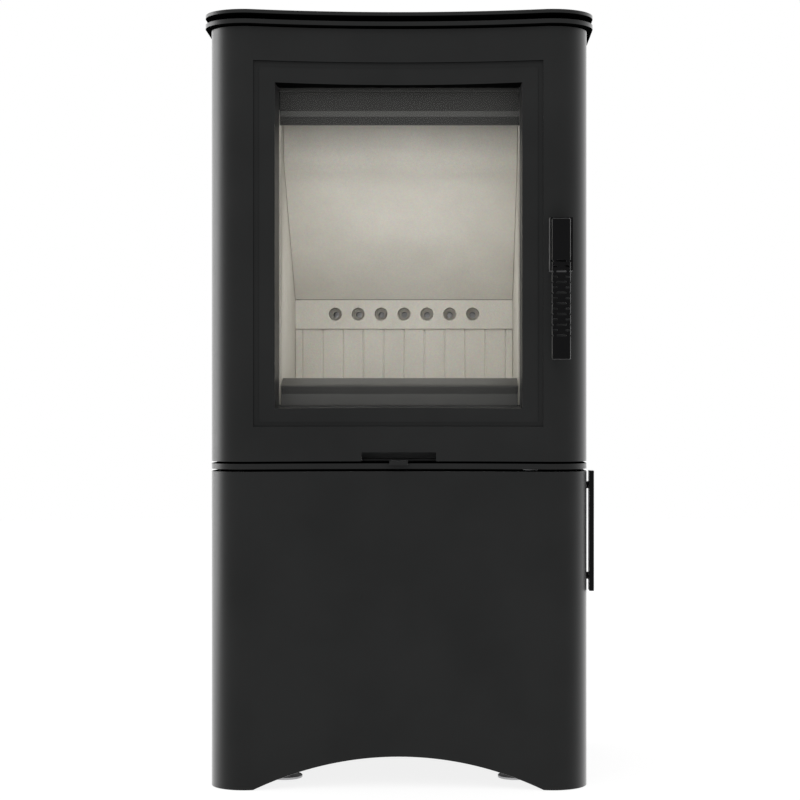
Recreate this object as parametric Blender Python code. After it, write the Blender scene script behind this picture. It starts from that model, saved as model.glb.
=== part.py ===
"""Freestanding wood burning stove: a double top plate, a glazed fire door with a concave front,
a vermiculite lined firebox, and a pedestal with a log store behind an arched door.

Frame: metres, +Z up, the front faces -Y, +X to the right of someone facing the stove.
The stove's own coordinates have x = 0 on its centreline, y = 0 at half its body depth and z = 0 on
the floor. One empty shifts them so that the world origin is the bottom centre of the whole box.
"""

import math

import bmesh
import bpy
from mathutils import Matrix, Vector

# ---------------------------------------------------------------- driving dimensions
BODY_HALF_WIDTH = 0.256
BODY_DEPTH = 0.420
CORNER_RADIUS = 0.048
FRONT_SAGITTA = 0.0227       # how far the middle of the concave front lies behind its corners
PLATE_OVERHANG = 0.0083
GAP = 0.0003                 # between pieces that rest on each other
SKIN = 0.003                 # door and front sheet
CASING = 0.0025              # side and back sheet

# heights
PEDESTAL_BOTTOM, PEDESTAL_TOP = 0.0006, 0.4285
HEARTH_BOTTOM, HEARTH_TOP = 0.4317, 0.4391
BODY_BOTTOM, BODY_TOP = 0.4420, 1.0274
UNDER_PLATE_BOTTOM, UNDER_PLATE_TOP = 1.0301, 1.0360
TOP_PLATE_BOTTOM, TOP_PLATE_TOP = 1.0436, 1.0490

# doors
DOOR_BACK_Y = -0.150         # rear edge of the door's side returns
CASING_FRONT_Y = -0.145      # front edge of the fixed side casings
HINGE_X, HINGE_Y = -0.2445, -0.157
HINGE_PIN_RADIUS = 0.004
RUNNING_GAP = 0.0003
FRAME_HALF_WIDTH = 0.205     # the flat inner frames of both doors
FRAME_BACK_Y = -0.155

# window
RECESS_HALF, RECESS_BOTTOM, RECESS_TOP = 0.195, 0.489, 0.982
RECESS_DEPTH, PANEL_DEPTH = 0.0043, 0.0034     # behind the door's front face
PANEL_HALF, PANEL_BOTTOM, PANEL_TOP = 0.188, 0.495, 0.974
OPENING_HALF, OPENING_BOTTOM, OPENING_TOP = 0.1673, 0.5127, 0.9538
REVEAL_TAPER = 0.0030        # how much smaller the reveal is at the glass, on each side
REVEAL_BACK_Y = -0.1680
GLASS_THICKNESS = 0.004

# fire door handle
HANDLE_LEFT, HANDLE_RIGHT = 0.2048, 0.2295
HANDLE_BOTTOM, HANDLE_TOP = 0.5788, 0.7663
HANDLE_FRONT_Y, HANDLE_BACK_Y = -0.2460, -0.2380
HANDLE_AXIS_Z = 0.7325
SPINDLE_RADIUS = 0.006

# air control
NOTCH_HALF, NOTCH_TOP = 0.0505, 0.4540
TAB_HALF, TAB_BOTTOM, TAB_TOP = 0.0125, 0.4368, 0.4430

# flue and outside air
FLUE_Y, FLUE_RADIUS, FLUE_WALL = 0.070, 0.075, 0.004
PLATE_HOLE_RADIUS = 0.085
INLET_Z, INLET_RADIUS = 0.385, 0.040
INLET_BACK_Y = 0.225

# firebox
FIRE_HALF = 0.1640           # inside of the lining
BRICK_HALF = 0.1947          # outside of the lining
STEEL_HALF = 0.1990          # outside of the steel shell
FIRE_FLOOR_TOP = 0.5120
BACK_STEEL_Y = 0.1583

# arch and feet
ARCH_RADIUS, ARCH_TOP = 0.485, 0.0417
FOOT_X, FOOT_FRONT_Y, FOOT_REAR_Y = 0.160, -0.110, 0.150
FOOT_RADIUS = 0.024

# log store door handle: a flat bar on the side return of the door
BAR_INNER_X, BAR_OUTER_X = 0.2590, 0.2655
BAR_FRONT_Y, BAR_BACK_Y = -0.1740, -0.1510
BAR_BOTTOM, BAR_TOP = 0.2650, 0.4290

CORNER_STEPS, ARC_STEPS = 7, 12

FRONT_Y = -BODY_DEPTH / 2
CORNER_X = BODY_HALF_WIDTH - CORNER_RADIUS
FRONT_CORNER_Y = FRONT_Y + CORNER_RADIUS
REAR_CORNER_Y = -FRONT_CORNER_Y
corner_rise = CORNER_RADIUS - FRONT_SAGITTA
ARC_RADIUS = (CORNER_X**2 + corner_rise**2 - CORNER_RADIUS**2) / (2 * FRONT_SAGITTA)
ARC_CENTRE_Y = FRONT_Y + FRONT_SAGITTA - ARC_RADIUS
ARC_HALF_ANGLE = math.asin(CORNER_X / (ARC_RADIUS + CORNER_RADIUS))

# bottom centre of the box round everything, in the stove's own coordinates
BOX_LEFT = -BODY_HALF_WIDTH - PLATE_OVERHANG
BOX_CENTRE = Vector(((BOX_LEFT + BAR_OUTER_X) / 2, (HANDLE_FRONT_Y + INLET_BACK_Y) / 2, 0.0))


# ---------------------------------------------------------------- materials and parents
def material(name, colour, metallic, roughness, alpha=1.0):
    mat = bpy.data.materials.new(name)
    mat.use_nodes = True
    shader = mat.node_tree.nodes["Principled BSDF"]
    shader.inputs["Base Color"].default_value = (*colour, 1.0)
    shader.inputs["Metallic"].default_value = metallic
    shader.inputs["Roughness"].default_value = roughness
    shader.inputs["Alpha"].default_value = alpha
    mat.diffuse_color = (*colour, alpha)
    return mat


def pivot(name, place, parent):
    """An empty at a joint's axis or at the stove's own origin; pieces are parented to it."""
    empty = bpy.data.objects.new(name, None)
    bpy.context.collection.objects.link(empty)
    empty.empty_display_size = 0.05
    empty.location = place
    if parent:
        empty.parent = parent
    return empty


def attach(piece, parent):
    """Keeps the piece where it is in the stove's coordinates while it hangs on the parent."""
    piece.parent = parent
    if parent.parent:
        piece.matrix_parent_inverse = Matrix.Translation(-parent.location)


# ---------------------------------------------------------------- plan outlines
def arc_points(centre, radius, start, end, steps):
    return [
        (
            centre[0] + radius * math.cos(start + (end - start) * i / steps),
            centre[1] + radius * math.sin(start + (end - start) * i / steps),
        )
        for i in range(steps + 1)
    ]


def front_chain(inset, back_y):
    """From the left side at back_y, round the concave front, to the right side at back_y."""
    down = -math.pi / 2
    radius = CORNER_RADIUS - inset
    left = arc_points((-CORNER_X, FRONT_CORNER_Y), radius, -math.pi, down + ARC_HALF_ANGLE, CORNER_STEPS)
    right = arc_points((CORNER_X, FRONT_CORNER_Y), radius, down - ARC_HALF_ANGLE, 0.0, CORNER_STEPS)
    up = math.pi / 2
    middle = arc_points(
        (0.0, ARC_CENTRE_Y), ARC_RADIUS + inset, up + ARC_HALF_ANGLE, up - ARC_HALF_ANGLE, ARC_STEPS
    )
    side = BODY_HALF_WIDTH - inset
    return [(-side, back_y)] + left + middle[1:-1] + right + [(side, back_y)]


def rear_chain(inset, front_y):
    """From the right side at front_y, round the back, to the left side at front_y."""
    radius = CORNER_RADIUS - inset
    right = arc_points((CORNER_X, REAR_CORNER_Y), radius, 0.0, math.pi / 2, CORNER_STEPS)
    left = arc_points((-CORNER_X, REAR_CORNER_Y), radius, math.pi / 2, math.pi, CORNER_STEPS)
    side = BODY_HALF_WIDTH - inset
    return [(side, front_y)] + right + left + [(-side, front_y)]


def full_outline(inset):
    return front_chain(inset, 0.0)[1:-1] + rear_chain(inset, 0.0)[1:-1]


# ---------------------------------------------------------------- solids
def mesh_object(name, bm, place, mat):
    bmesh.ops.recalc_face_normals(bm, faces=bm.faces)
    mesh = bpy.data.meshes.new(name)
    bm.to_mesh(mesh)
    bm.free()
    obj = bpy.data.objects.new(name, mesh)
    obj.location = place
    bpy.context.collection.objects.link(obj)
    if mat:
        mesh.materials.append(mat)
    return obj


def prism(name, outline, low, high, mat=None, axis="Z"):
    """An outline extruded along Z (points are x, y), Y (points are x, z) or X (points are y, z)."""
    lift = {
        "Z": lambda p, t: (p[0], p[1], t),
        "Y": lambda p, t: (p[0], t, p[1]),
        "X": lambda p, t: (t, p[0], p[1]),
    }[axis]
    middle = Vector(lift((0.0, 0.0), low))
    bm = bmesh.new()
    rings = [[bm.verts.new(Vector(lift(p, t)) - middle) for p in outline] for t in (low, high)]
    bm.faces.new(rings[0])
    bm.faces.new(rings[1])
    count = len(outline)
    for i in range(count):
        j = (i + 1) % count
        bm.faces.new((rings[0][i], rings[0][j], rings[1][j], rings[1][i]))
    return mesh_object(name, bm, middle, mat)


def box(name, x, y, z, mat=None):
    """A block between the two limits given for each axis."""
    bm = bmesh.new()
    bmesh.ops.create_cube(bm, size=1.0)
    size = Vector((x[1] - x[0], y[1] - y[0], z[1] - z[0]))
    centre = Vector(((x[0] + x[1]) / 2, (y[0] + y[1]) / 2, (z[0] + z[1]) / 2))
    bmesh.ops.scale(bm, vec=size, verts=bm.verts)
    return mesh_object(name, bm, centre, mat)


def turned(name, profile, place, mat=None, axis="Z", steps=20):
    """A profile of (radius, height) pairs, closed on the axis, turned about Z, Y or X."""
    bm = bmesh.new()
    rings = []
    for radius, height in profile:
        if radius == 0.0:
            rings.append([bm.verts.new((0.0, 0.0, height))])
            continue
        around = [2 * math.pi * i / steps for i in range(steps)]
        rings.append([bm.verts.new((radius * math.cos(a), radius * math.sin(a), height)) for a in around])
    for lower, upper in zip(rings, rings[1:]):
        for i in range(steps):
            j = (i + 1) % steps
            corners = [lower[i % len(lower)], lower[j % len(lower)]]
            corners += [upper[j % len(upper)], upper[i % len(upper)]]
            bm.faces.new(list(dict.fromkeys(corners)))
    if axis == "Y":
        bmesh.ops.rotate(bm, cent=(0, 0, 0), matrix=Matrix.Rotation(-math.pi / 2, 3, "X"), verts=bm.verts)
    if axis == "X":
        bmesh.ops.rotate(bm, cent=(0, 0, 0), matrix=Matrix.Rotation(math.pi / 2, 3, "Y"), verts=bm.verts)
    obj = mesh_object(name, bm, place, mat)
    smooth(obj)
    return obj


def rod(name, radius, start, length, mat=None, axis="Z", steps=20):
    return turned(name, [(0.0, 0.0), (radius, 0.0), (radius, length), (0.0, length)], start, mat, axis, steps)


def smooth(obj):
    obj.data.shade_smooth()
    obj.data.set_sharp_from_angle(angle=math.radians(35))


def combine(target, tools, operation):
    """Applies one Boolean for each tool and removes the tools."""
    for tool in tools:
        step = target.modifiers.new(operation.lower(), "BOOLEAN")
        step.operation = operation
        step.solver = "EXACT"
        step.object = tool
        bpy.context.view_layer.update()
        graph = bpy.context.evaluated_depsgraph_get()
        shaped = bpy.data.meshes.new_from_object(target.evaluated_get(graph))
        target.modifiers.clear()
        old = target.data
        shaped.name = target.name
        target.data = shaped
        bpy.data.meshes.remove(old)
        bpy.data.objects.remove(tool)
    return target


def cut(target, *tools):
    return combine(target, tools, "DIFFERENCE")


def join(target, *tools):
    return combine(target, tools, "UNION")


def keep_inside(target, tool):
    return combine(target, [tool], "INTERSECT")


def bevel(obj, width, segments=1, angle=40):
    step = obj.modifiers.new("edges", "BEVEL")
    step.width = width
    step.segments = segments
    step.limit_method = "ANGLE"
    step.angle_limit = math.radians(angle)


def rounded_rectangle(half_x, low, high, radius, steps=4):
    """Outline in x and z round a vertical rectangle."""
    quarter = math.pi / 2
    corners = [
        ((half_x - radius, high - radius), 0.0),
        ((-half_x + radius, high - radius), quarter),
        ((-half_x + radius, low + radius), 2 * quarter),
        ((half_x - radius, low + radius), 3 * quarter),
    ]
    points = []
    for centre, start in corners:
        points += arc_points(centre, radius, start, start + quarter, steps)
    return points


def cord_ring(name, half_x, low, high, radius, y, half_width, half_depth, mat):
    """A rope of oval section laid round a vertical rectangle with rounded corners."""
    sides = 8
    centre_line = rounded_rectangle(half_x, low, high, radius)
    centre = Vector((0.0, y, (low + high) / 2))
    bm = bmesh.new()
    rings = []
    count = len(centre_line)
    for i, (x, z) in enumerate(centre_line):
        before, after = centre_line[i - 1], centre_line[(i + 1) % count]
        along = Vector((after[0] - before[0], 0.0, after[1] - before[1])).normalized()
        outward = Vector((along.z, 0.0, -along.x))
        ring = []
        for k in range(sides):
            turn = 2 * math.pi * (k + 0.5) / sides
            offset = outward * math.cos(turn) * half_width + Vector((0, math.sin(turn) * half_depth, 0))
            ring.append(bm.verts.new(Vector((x, y, z)) + offset - centre))
        rings.append(ring)
    for i in range(count):
        here, there = rings[i], rings[(i + 1) % count]
        for k in range(sides):
            m = (k + 1) % sides
            bm.faces.new((here[k], here[m], there[m], there[k]))
    obj = mesh_object(name, bm, centre, mat)
    smooth(obj)
    return obj


def door_pan(name, bottom, top, mat, floor=True):
    """A door skin: the curved front, both corners, the side returns and a top and bottom flange."""
    outer = prism(name, front_chain(0.0, DOOR_BACK_Y), bottom, top, mat)
    inner_bottom = bottom + SKIN if floor else bottom - SKIN
    inner = prism("inner", front_chain(SKIN, DOOR_BACK_Y + SKIN), inner_bottom, top - SKIN)
    return cut(outer, inner)


def inner_frame(name, bottom, top, mat):
    """A shallow tray behind the door skin: its back is the flat face that the seal sits on."""
    half = FRAME_HALF_WIDTH
    outer = prism(name, front_chain(SKIN + GAP, FRAME_BACK_Y), bottom, top, mat)
    keep_inside(outer, box("limit", (-half, half), (-0.3, 0.0), (bottom - 0.01, top + 0.01)))
    inner = box(
        "inner",
        (-half + SKIN, half - SKIN),
        (-0.3, FRAME_BACK_Y - SKIN),
        (bottom + SKIN, top - SKIN),
    )
    return cut(outer, inner)


def round_end(half):
    """Half a circle round the hinge axis, from its +Y side over -X to its -Y side."""
    return arc_points((HINGE_X, HINGE_Y), half, math.pi / 2, 1.5 * math.pi, 8)


def hinge_lug(low, high):
    """A strip from the inner frame's left edge to the hinge axis, round at its end."""
    half = 0.0065
    root_x = -FRAME_HALF_WIDTH + SKIN / 2
    outline = round_end(half) + [(root_x, HINGE_Y - half), (root_x, HINGE_Y + half)]
    return prism("lug", outline, low, high)


def hinge_hole(low, high):
    radius = HINGE_PIN_RADIUS + RUNNING_GAP
    return rod("pin_hole", radius, (HINGE_X, HINGE_Y, low - 0.001), high - low + 0.002)


def hinge_bracket(name, low, high, mat, to_y, riser=None):
    """A fixed arm under or over a door lug: from the pin to the right, then back to its support."""
    half, inner_x, outer_x = 0.006, -0.2345, -0.216
    back = [(outer_x, HINGE_Y - half), (outer_x, to_y), (inner_x, to_y), (inner_x, HINGE_Y + half)]
    arm = prism(name, round_end(half) + back, low, high, mat)
    if riser:
        join(arm, box("riser", (inner_x, outer_x), (to_y - 0.004, to_y), riser))
    return cut(arm, hinge_hole(low, high))


def hinge_pin(name, low, high, mat):
    """A headed pin, its head on top."""
    head_radius, head_height = HINGE_PIN_RADIUS * 1.5, 0.002
    length = high - low
    neck = length - head_height
    shank = [(0, 0), (HINGE_PIN_RADIUS, 0), (HINGE_PIN_RADIUS, neck)]
    profile = shank + [(head_radius, neck), (head_radius, length), (0, length)]
    return turned(name, profile, (HINGE_X, HINGE_Y, low), mat, steps=14)


def folded_sheet(name, profile, thickness, half_width, mat):
    """A sheet bent along X: the profile (y, z) is its outer face, the thickness goes to its left."""
    inner = []
    last = len(profile) - 1
    for i, point in enumerate(profile):
        here = Vector(point)
        before = (here - Vector(profile[i - 1])).normalized() if i > 0 else None
        after = (Vector(profile[i + 1]) - here).normalized() if i < last else None
        before, after = before or after, after or before
        normal = Vector((-before.y, before.x)) + Vector((-after.y, after.x))
        normal.normalize()
        reach = thickness / normal.dot(Vector((-before.y, before.x)))
        inner.append(tuple(here + normal * reach))
    return prism(name, list(profile) + inner[::-1], -half_width, half_width, mat, axis="X")


def rear_band(name, inset, thickness, front_y, low, high, mat):
    """The U of sheet that runs down one side, round the back and up the other side."""
    outline = rear_chain(inset, front_y) + rear_chain(inset + thickness, front_y)[::-1]
    return prism(name, outline, low, high, mat)


def side_and_back(prefix, low, high, mat):
    """Three casings cut from one band: left, right and back, with a fine joint between them."""
    joint_x = 0.197
    half = BODY_HALF_WIDTH + 0.01
    limits = {
        f"{prefix}_side_left": (-half, -joint_x),
        f"{prefix}_side_right": (joint_x, half),
        f"{prefix}_back": (-joint_x + 0.0005, joint_x - 0.0005),
    }
    made = []
    for name, x_limits in limits.items():
        piece = rear_band(name, 0.0, CASING, CASING_FRONT_Y, low, high, mat)
        front = CASING_FRONT_Y - 0.01 if "side" in name else 0.0
        keep_inside(piece, box("limit", x_limits, (front, 0.3), (low - 0.01, high + 0.01)))
        made.append(piece)
    return made


# ---------------------------------------------------------------- scene
for leftover in list(bpy.data.objects):
    bpy.data.objects.remove(leftover)

paint = material("stove_paint", (0.021, 0.022, 0.022), 0.0, 0.45)
inner_paint = material("inner_steel", (0.045, 0.046, 0.046), 0.2, 0.6)
handle_paint = material("handle_black", (0.009, 0.009, 0.010), 0.0, 0.5)
vermiculite = material("vermiculite", (0.43, 0.41, 0.35), 0.0, 0.95)
glass_mat = material("ceramic_glass", (0.9, 0.9, 0.88), 0.0, 0.02, alpha=0.25)
rope_mat = material("rope_seal", (0.10, 0.10, 0.10), 0.0, 0.95)
iron = material("cast_iron", (0.03, 0.03, 0.03), 0.3, 0.75)
zinc = material("zinc_steel", (0.45, 0.45, 0.46), 1.0, 0.35)

stove = pivot("stove_frame", -BOX_CENTRE, None)
fire_door = pivot("fire_door_axis", (HINGE_X, HINGE_Y, 0.0), stove)
log_door = pivot("log_store_door_axis", (HINGE_X, HINGE_Y, 0.0), stove)
handle_x = (HANDLE_LEFT + HANDLE_RIGHT) / 2
handle_axis = pivot("door_handle_axis", (handle_x, HANDLE_BACK_Y, HANDLE_AXIS_Z), fire_door)
handle_axis.matrix_parent_inverse = Matrix.Translation(-fire_door.location)
slider_guide = pivot("air_control_guide", (0.0, FRONT_Y, HEARTH_TOP), stove)


# ---------------------------------------------------------------- top plates, casings, hearth plate
def flue_hole():
    return rod("flue_hole", PLATE_HOLE_RADIUS, (0.0, FLUE_Y, 0.98), 0.1, steps=24)


top_plate = prism("top_plate", full_outline(-PLATE_OVERHANG), TOP_PLATE_BOTTOM, TOP_PLATE_TOP, paint)
cut(top_plate, flue_hole())
under_plate = prism("under_plate", full_outline(-PLATE_OVERHANG), UNDER_PLATE_BOTTOM, UNDER_PLATE_TOP, paint)
cut(under_plate, flue_hole())
for side in (-1, 1):
    slot_x = sorted((side * 0.150, side * 0.160))
    cut(under_plate, box("warm_air_slot", slot_x, (-0.10, 0.12), (1.0, 1.1)))

spacer_inset, spacer_wall = 0.030, 0.006
spacer_low, spacer_high = UNDER_PLATE_TOP + GAP, TOP_PLATE_BOTTOM - GAP
plate_spacer = prism("plate_spacer", full_outline(spacer_inset), spacer_low, spacer_high, inner_paint)
spacer_inside = full_outline(spacer_inset + spacer_wall)
cut(plate_spacer, prism("hole", spacer_inside, spacer_low - 0.01, spacer_high + 0.01))

SHELL_BOTTOM, SHELL_TOP, SHELL_WALL = 0.4600, 1.0000, 0.004
support_z = (SHELL_TOP + GAP, UNDER_PLATE_BOTTOM - GAP)
support = box("top_support_frame", (-0.205, 0.205), (-0.130, 0.165), support_z, inner_paint)
cut(support, box("hole", (-0.202, 0.202), (-0.127, 0.162), (0.9, 1.1)))

casing_left, casing_right, casing_back = side_and_back("casing", BODY_BOTTOM, BODY_TOP, paint)
REAR_OUTLET_Z, REAR_OUTLET_RADIUS = 0.860, 0.076
cut(casing_back, rod("outlet", REAR_OUTLET_RADIUS, (0.0, 0.18, REAR_OUTLET_Z), 0.06, axis="Y", steps=24))
louvre_half, louvre_height, louvre_pitch = 0.034, 0.006, 0.018
for first_z in (0.480, 0.965):
    for row in range(3):
        for column in (-1.5, -0.5, 0.5, 1.5):
            slot_z = first_z + row * louvre_pitch
            slot_x = column * 0.088
            span = (slot_x - louvre_half, slot_x + louvre_half)
            cut(casing_back, box("slot", span, (0.2, 0.22), (slot_z, slot_z + louvre_height)))
cover_rim = [(0, 0), (0.088, 0), (0.088, 0.0012), (0.086, 0.002)]
cover_profile = cover_rim + [(0.078, 0.002), (0.074, 0.004), (0, 0.004)]
rear_flue_cover = turned(
    "rear_flue_cover", cover_profile, (0.0, BODY_DEPTH / 2 + GAP, REAR_OUTLET_Z), paint, axis="Y", steps=24
)

hearth_plate = prism("hearth_plate", full_outline(0.0), HEARTH_BOTTOM, HEARTH_TOP, paint)
AIR_SLOT_Y = (-0.105, -0.080)
for slot_x in (-0.075, -0.025, 0.025, 0.075):
    cut(hearth_plate, box("slot", (slot_x - 0.010, slot_x + 0.010), AIR_SLOT_Y, (0.42, 0.45)))
cut(hearth_plate, rod("inlet", 0.030, (0.0, 0.130, 0.42), 0.03))
base_z = (HEARTH_TOP + GAP, SHELL_BOTTOM - GAP)
base_frame = box("base_frame", (-0.190, 0.190), (-0.135, 0.156), base_z, inner_paint)
cut(base_frame, box("hole", (-0.186, 0.186), (-0.2, 0.152), (0.4, 0.5)))
static = [
    top_plate, under_plate, plate_spacer, support, casing_left, casing_right, casing_back,
    rear_flue_cover, hearth_plate, base_frame,
]

# ---------------------------------------------------------------- firebox
PLATE_FRONT_Y, PLATE_BACK_Y = -0.146, -0.141
PLATE_HALF, PLATE_BOTTOM, PLATE_TOP = 0.235, 0.4425, 1.018
shell = box(
    "firebox_shell",
    (-STEEL_HALF, STEEL_HALF),
    (PLATE_BACK_Y + GAP, BACK_STEEL_Y),
    (SHELL_BOTTOM, SHELL_TOP),
    inner_paint,
)
inner_x = STEEL_HALF - SHELL_WALL
cut(
    shell,
    box(
        "room",
        (-inner_x, inner_x),
        (-0.2, BACK_STEEL_Y - SHELL_WALL),
        (SHELL_BOTTOM + SHELL_WALL, SHELL_TOP - SHELL_WALL),
    ),
    rod("flue", FLUE_RADIUS - 0.003, (0.0, FLUE_Y, 0.95), 0.1, steps=24),
    box("primary_air", (-0.030, 0.030), (-0.10, -0.04), (0.45, 0.47)),
)
BRICK_BOTTOM = 0.4960
for side in (-1, 1):
    rail_x = sorted((side * 0.180, side * (inner_x + 0.001)))
    join(shell, box("rail", rail_x, (-0.130, 0.150), (BRICK_BOTTOM - GAP - 0.003, BRICK_BOTTOM - GAP)))

front_plate = box(
    "firebox_front_plate",
    (-PLATE_HALF, PLATE_HALF),
    (PLATE_FRONT_Y, PLATE_BACK_Y),
    (PLATE_BOTTOM, PLATE_TOP),
    inner_paint,
)
cut(
    front_plate,
    box("fire_opening", (-0.166, 0.166), (-0.2, -0.1), (0.505, 0.960)),
    box("ash_opening", (-0.102, 0.102), (-0.2, -0.1), (SHELL_BOTTOM + SHELL_WALL, 0.4930)),
)

collar_outer, collar_inner = FLUE_RADIUS, FLUE_RADIUS - FLUE_WALL
collar_bottom, collar_top = SHELL_TOP + GAP, 1.0460
collar_profile = [
    (0, 0), (0.0835, 0), (0.0835, 0.004), (collar_outer, 0.004),
    (collar_outer, collar_top - collar_bottom), (0, collar_top - collar_bottom),
]
flue_collar = turned("flue_collar", collar_profile, (0.0, FLUE_Y, collar_bottom), iron, steps=24)
cut(flue_collar, rod("bore", collar_inner, (0.0, FLUE_Y, 0.99), 0.07, steps=24))

brick_z = (BRICK_BOTTOM, FIRE_FLOOR_TOP)
hearth_brick = box("hearth_brick", (-BRICK_HALF, BRICK_HALF), (-0.138, 0.154), brick_z, vermiculite)
cut(
    hearth_brick,
    box("grate_seat", (-0.0985, 0.0985), (-0.0685, 0.0685), (FIRE_FLOOR_TOP - 0.010, 0.6)),
    box("ash_drop", (-0.090, 0.090), (-0.060, 0.060), (0.4, 0.6)),
)
grate_z = (FIRE_FLOOR_TOP - 0.0097, FIRE_FLOOR_TOP - 0.0005)
grate = box("grate", (-0.098, 0.098), (-0.068, 0.068), grate_z, iron)
for i in range(7):
    bar_x = (i - 3) * 0.024
    cut(grate, box("slot", (bar_x - 0.0055, bar_x + 0.0055), (-0.052, 0.052), (0.4, 0.6)))

PAN_BOTTOM, PAN_TOP = SHELL_BOTTOM + SHELL_WALL + GAP, 0.4900
ash_pan = box("ash_pan", (-0.098, 0.098), (-0.1390, 0.080), (PAN_BOTTOM, PAN_TOP), zinc)
cut(ash_pan, box("hollow", (-0.096, 0.096), (-0.137, 0.078), (PAN_BOTTOM + 0.002, 0.6)))
pull = box("pull", (-0.030, 0.030), (-0.1440, -0.138), (PAN_TOP - 0.004, PAN_TOP - 0.002))
join(ash_pan, pull)

# ---------------------------------------------------------------- vermiculite lining
LINING_BOTTOM = FIRE_FLOOR_TOP + GAP
AIR_BRICK_FRONT_Y, AIR_BRICK_BOTTOM, AIR_BRICK_TOP = 0.118, 0.6323, 0.6757
LINING_BACK_Y = 0.1540
SIDE_BRICK_TOP = 0.925
back_half = FIRE_HALF - GAP


def groove(x, y, direction, low, high, axis="x"):
    """A V-shaped cutter 4 mm wide and 2 mm deep along Z, in a face that looks along direction."""
    half, deep = 0.002, 0.002
    if axis == "x":
        tip = [(x - half, y + 0.001 * direction), (x + half, y + 0.001 * direction), (x, y - deep * direction)]
    else:
        tip = [(x + 0.001 * direction, y - half), (x + 0.001 * direction, y + half), (x - deep * direction, y)]
    return prism("groove", tip, low - 0.01, high + 0.01)


BACK_BRICK_FRONT_Y, GROOVE_PITCH = 0.122, 0.0307
back_brick = box(
    "back_brick_lower",
    (-back_half, back_half),
    (BACK_BRICK_FRONT_Y, LINING_BACK_Y),
    (LINING_BOTTOM, AIR_BRICK_BOTTOM - GAP),
    vermiculite,
)
for i in range(-5, 6):
    cut(back_brick, groove(i * GROOVE_PITCH, BACK_BRICK_FRONT_Y, -1, LINING_BOTTOM, AIR_BRICK_BOTTOM))

air_brick = box(
    "back_air_brick",
    (-back_half, back_half),
    (AIR_BRICK_FRONT_Y, LINING_BACK_Y),
    (AIR_BRICK_BOTTOM, AIR_BRICK_TOP),
    vermiculite,
)
JET_PITCH, JET_Z = 0.0345, 0.6545
jet_profile = [(0, 0), (0.0098, 0), (0.0098, 0.048), (0.0045, 0.048), (0.0045, 0.1), (0, 0.1)]
for i in range(-3, 4):
    jet_x = i * JET_PITCH
    cut(air_brick, turned("jet", jet_profile, (jet_x, 0.10, JET_Z), axis="Y", steps=14))
    cut(shell, rod("jet", 0.0045, (jet_x, 0.13, JET_Z), 0.05, axis="Y", steps=10))

side_bricks = []
for name, side in (("side_brick_left", -1), ("side_brick_right", 1)):
    brick_x = sorted((side * FIRE_HALF, side * BRICK_HALF))
    brick = box(name, brick_x, (-0.138, LINING_BACK_Y), (LINING_BOTTOM, SIDE_BRICK_TOP), vermiculite)
    for groove_y in (-0.047, 0.043):
        cut(brick, groove(side * FIRE_HALF, groove_y, -side, LINING_BOTTOM, SIDE_BRICK_TOP, axis="y"))
    side_bricks.append(brick)

# the sloped panel: a straight rise from the ledge, a bend, and an upright lip at the throat
BAFFLE_SLOPE = math.radians(40.5)
BAFFLE_BEND_RADIUS, BAFFLE_LIP_Y, BAFFLE_TOP, BAFFLE_THICKNESS = 0.050, -0.095, 0.920, 0.022
bend_start_y = BAFFLE_LIP_Y + BAFFLE_BEND_RADIUS * (1 - math.sin(BAFFLE_SLOPE))
ledge_y, ledge_z = AIR_BRICK_FRONT_Y - GAP, AIR_BRICK_TOP + GAP
bend_start_z = ledge_z + (ledge_y - bend_start_y) * math.tan(BAFFLE_SLOPE)
bend_centre = (BAFFLE_LIP_Y + BAFFLE_BEND_RADIUS, bend_start_z + BAFFLE_BEND_RADIUS * math.cos(BAFFLE_SLOPE))
bend = arc_points(bend_centre, BAFFLE_BEND_RADIUS, -math.pi / 2 - BAFFLE_SLOPE, -math.pi, 6)
front_face = [(ledge_y, ledge_z)] + bend + [(BAFFLE_LIP_Y, BAFFLE_TOP)]
baffle_panel = folded_sheet("baffle_panel", front_face[::-1], BAFFLE_THICKNESS, back_half, vermiculite)
keep_inside(baffle_panel, box("limit", (-0.3, 0.3), (-0.2, LINING_BACK_Y), (ledge_z, 1.0)))

air_wash = [(-0.1100, 0.9595), (-0.1430, 0.9595), (-0.1430, 0.9226), (-0.1385, 0.9157), (-0.1400, 0.9040)]
air_wash_deflector = folded_sheet("air_wash_deflector", air_wash, 0.0025, back_half, inner_paint)
guard = [
    (-0.1150, LINING_BOTTOM), (-0.1480, LINING_BOTTOM), (-0.1405, 0.5330), (-0.1425, 0.5443), (-0.1120, 0.5555)
]
log_guard = folded_sheet("log_guard", guard[::-1], 0.0025, 0.1630, inner_paint)

shield_outline = [
    (-0.190, 0.170), (-0.1885, 0.170), (-0.1885, 0.1805), (0.1885, 0.1805), (0.1885, 0.170), (0.190, 0.170),
    (0.190, 0.182), (-0.190, 0.182),
]
heat_shield = prism("rear_heat_shield", shield_outline, 0.470, 0.990, zinc)
static += [
    shell, front_plate, flue_collar, hearth_brick, grate, ash_pan, back_brick, air_brick, *side_bricks,
    baffle_panel, air_wash_deflector, log_guard, heat_shield,
]

# ---------------------------------------------------------------- fire door
door_shell = door_pan("door_shell", BODY_BOTTOM, BODY_TOP, paint)
spindle_hole_radius = SPINDLE_RADIUS + RUNNING_GAP
cut(
    door_shell,
    box("recess", (-RECESS_HALF, RECESS_HALF), (-0.25, -0.17), (RECESS_BOTTOM, RECESS_TOP)),
    box("notch", (-NOTCH_HALF, NOTCH_HALF), (-0.25, -0.17), (0.43, NOTCH_TOP)),
    rod("spindle_hole", spindle_hole_radius, (handle_x, -0.25, HANDLE_AXIS_Z), 0.06, axis="Y"),
)


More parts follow.
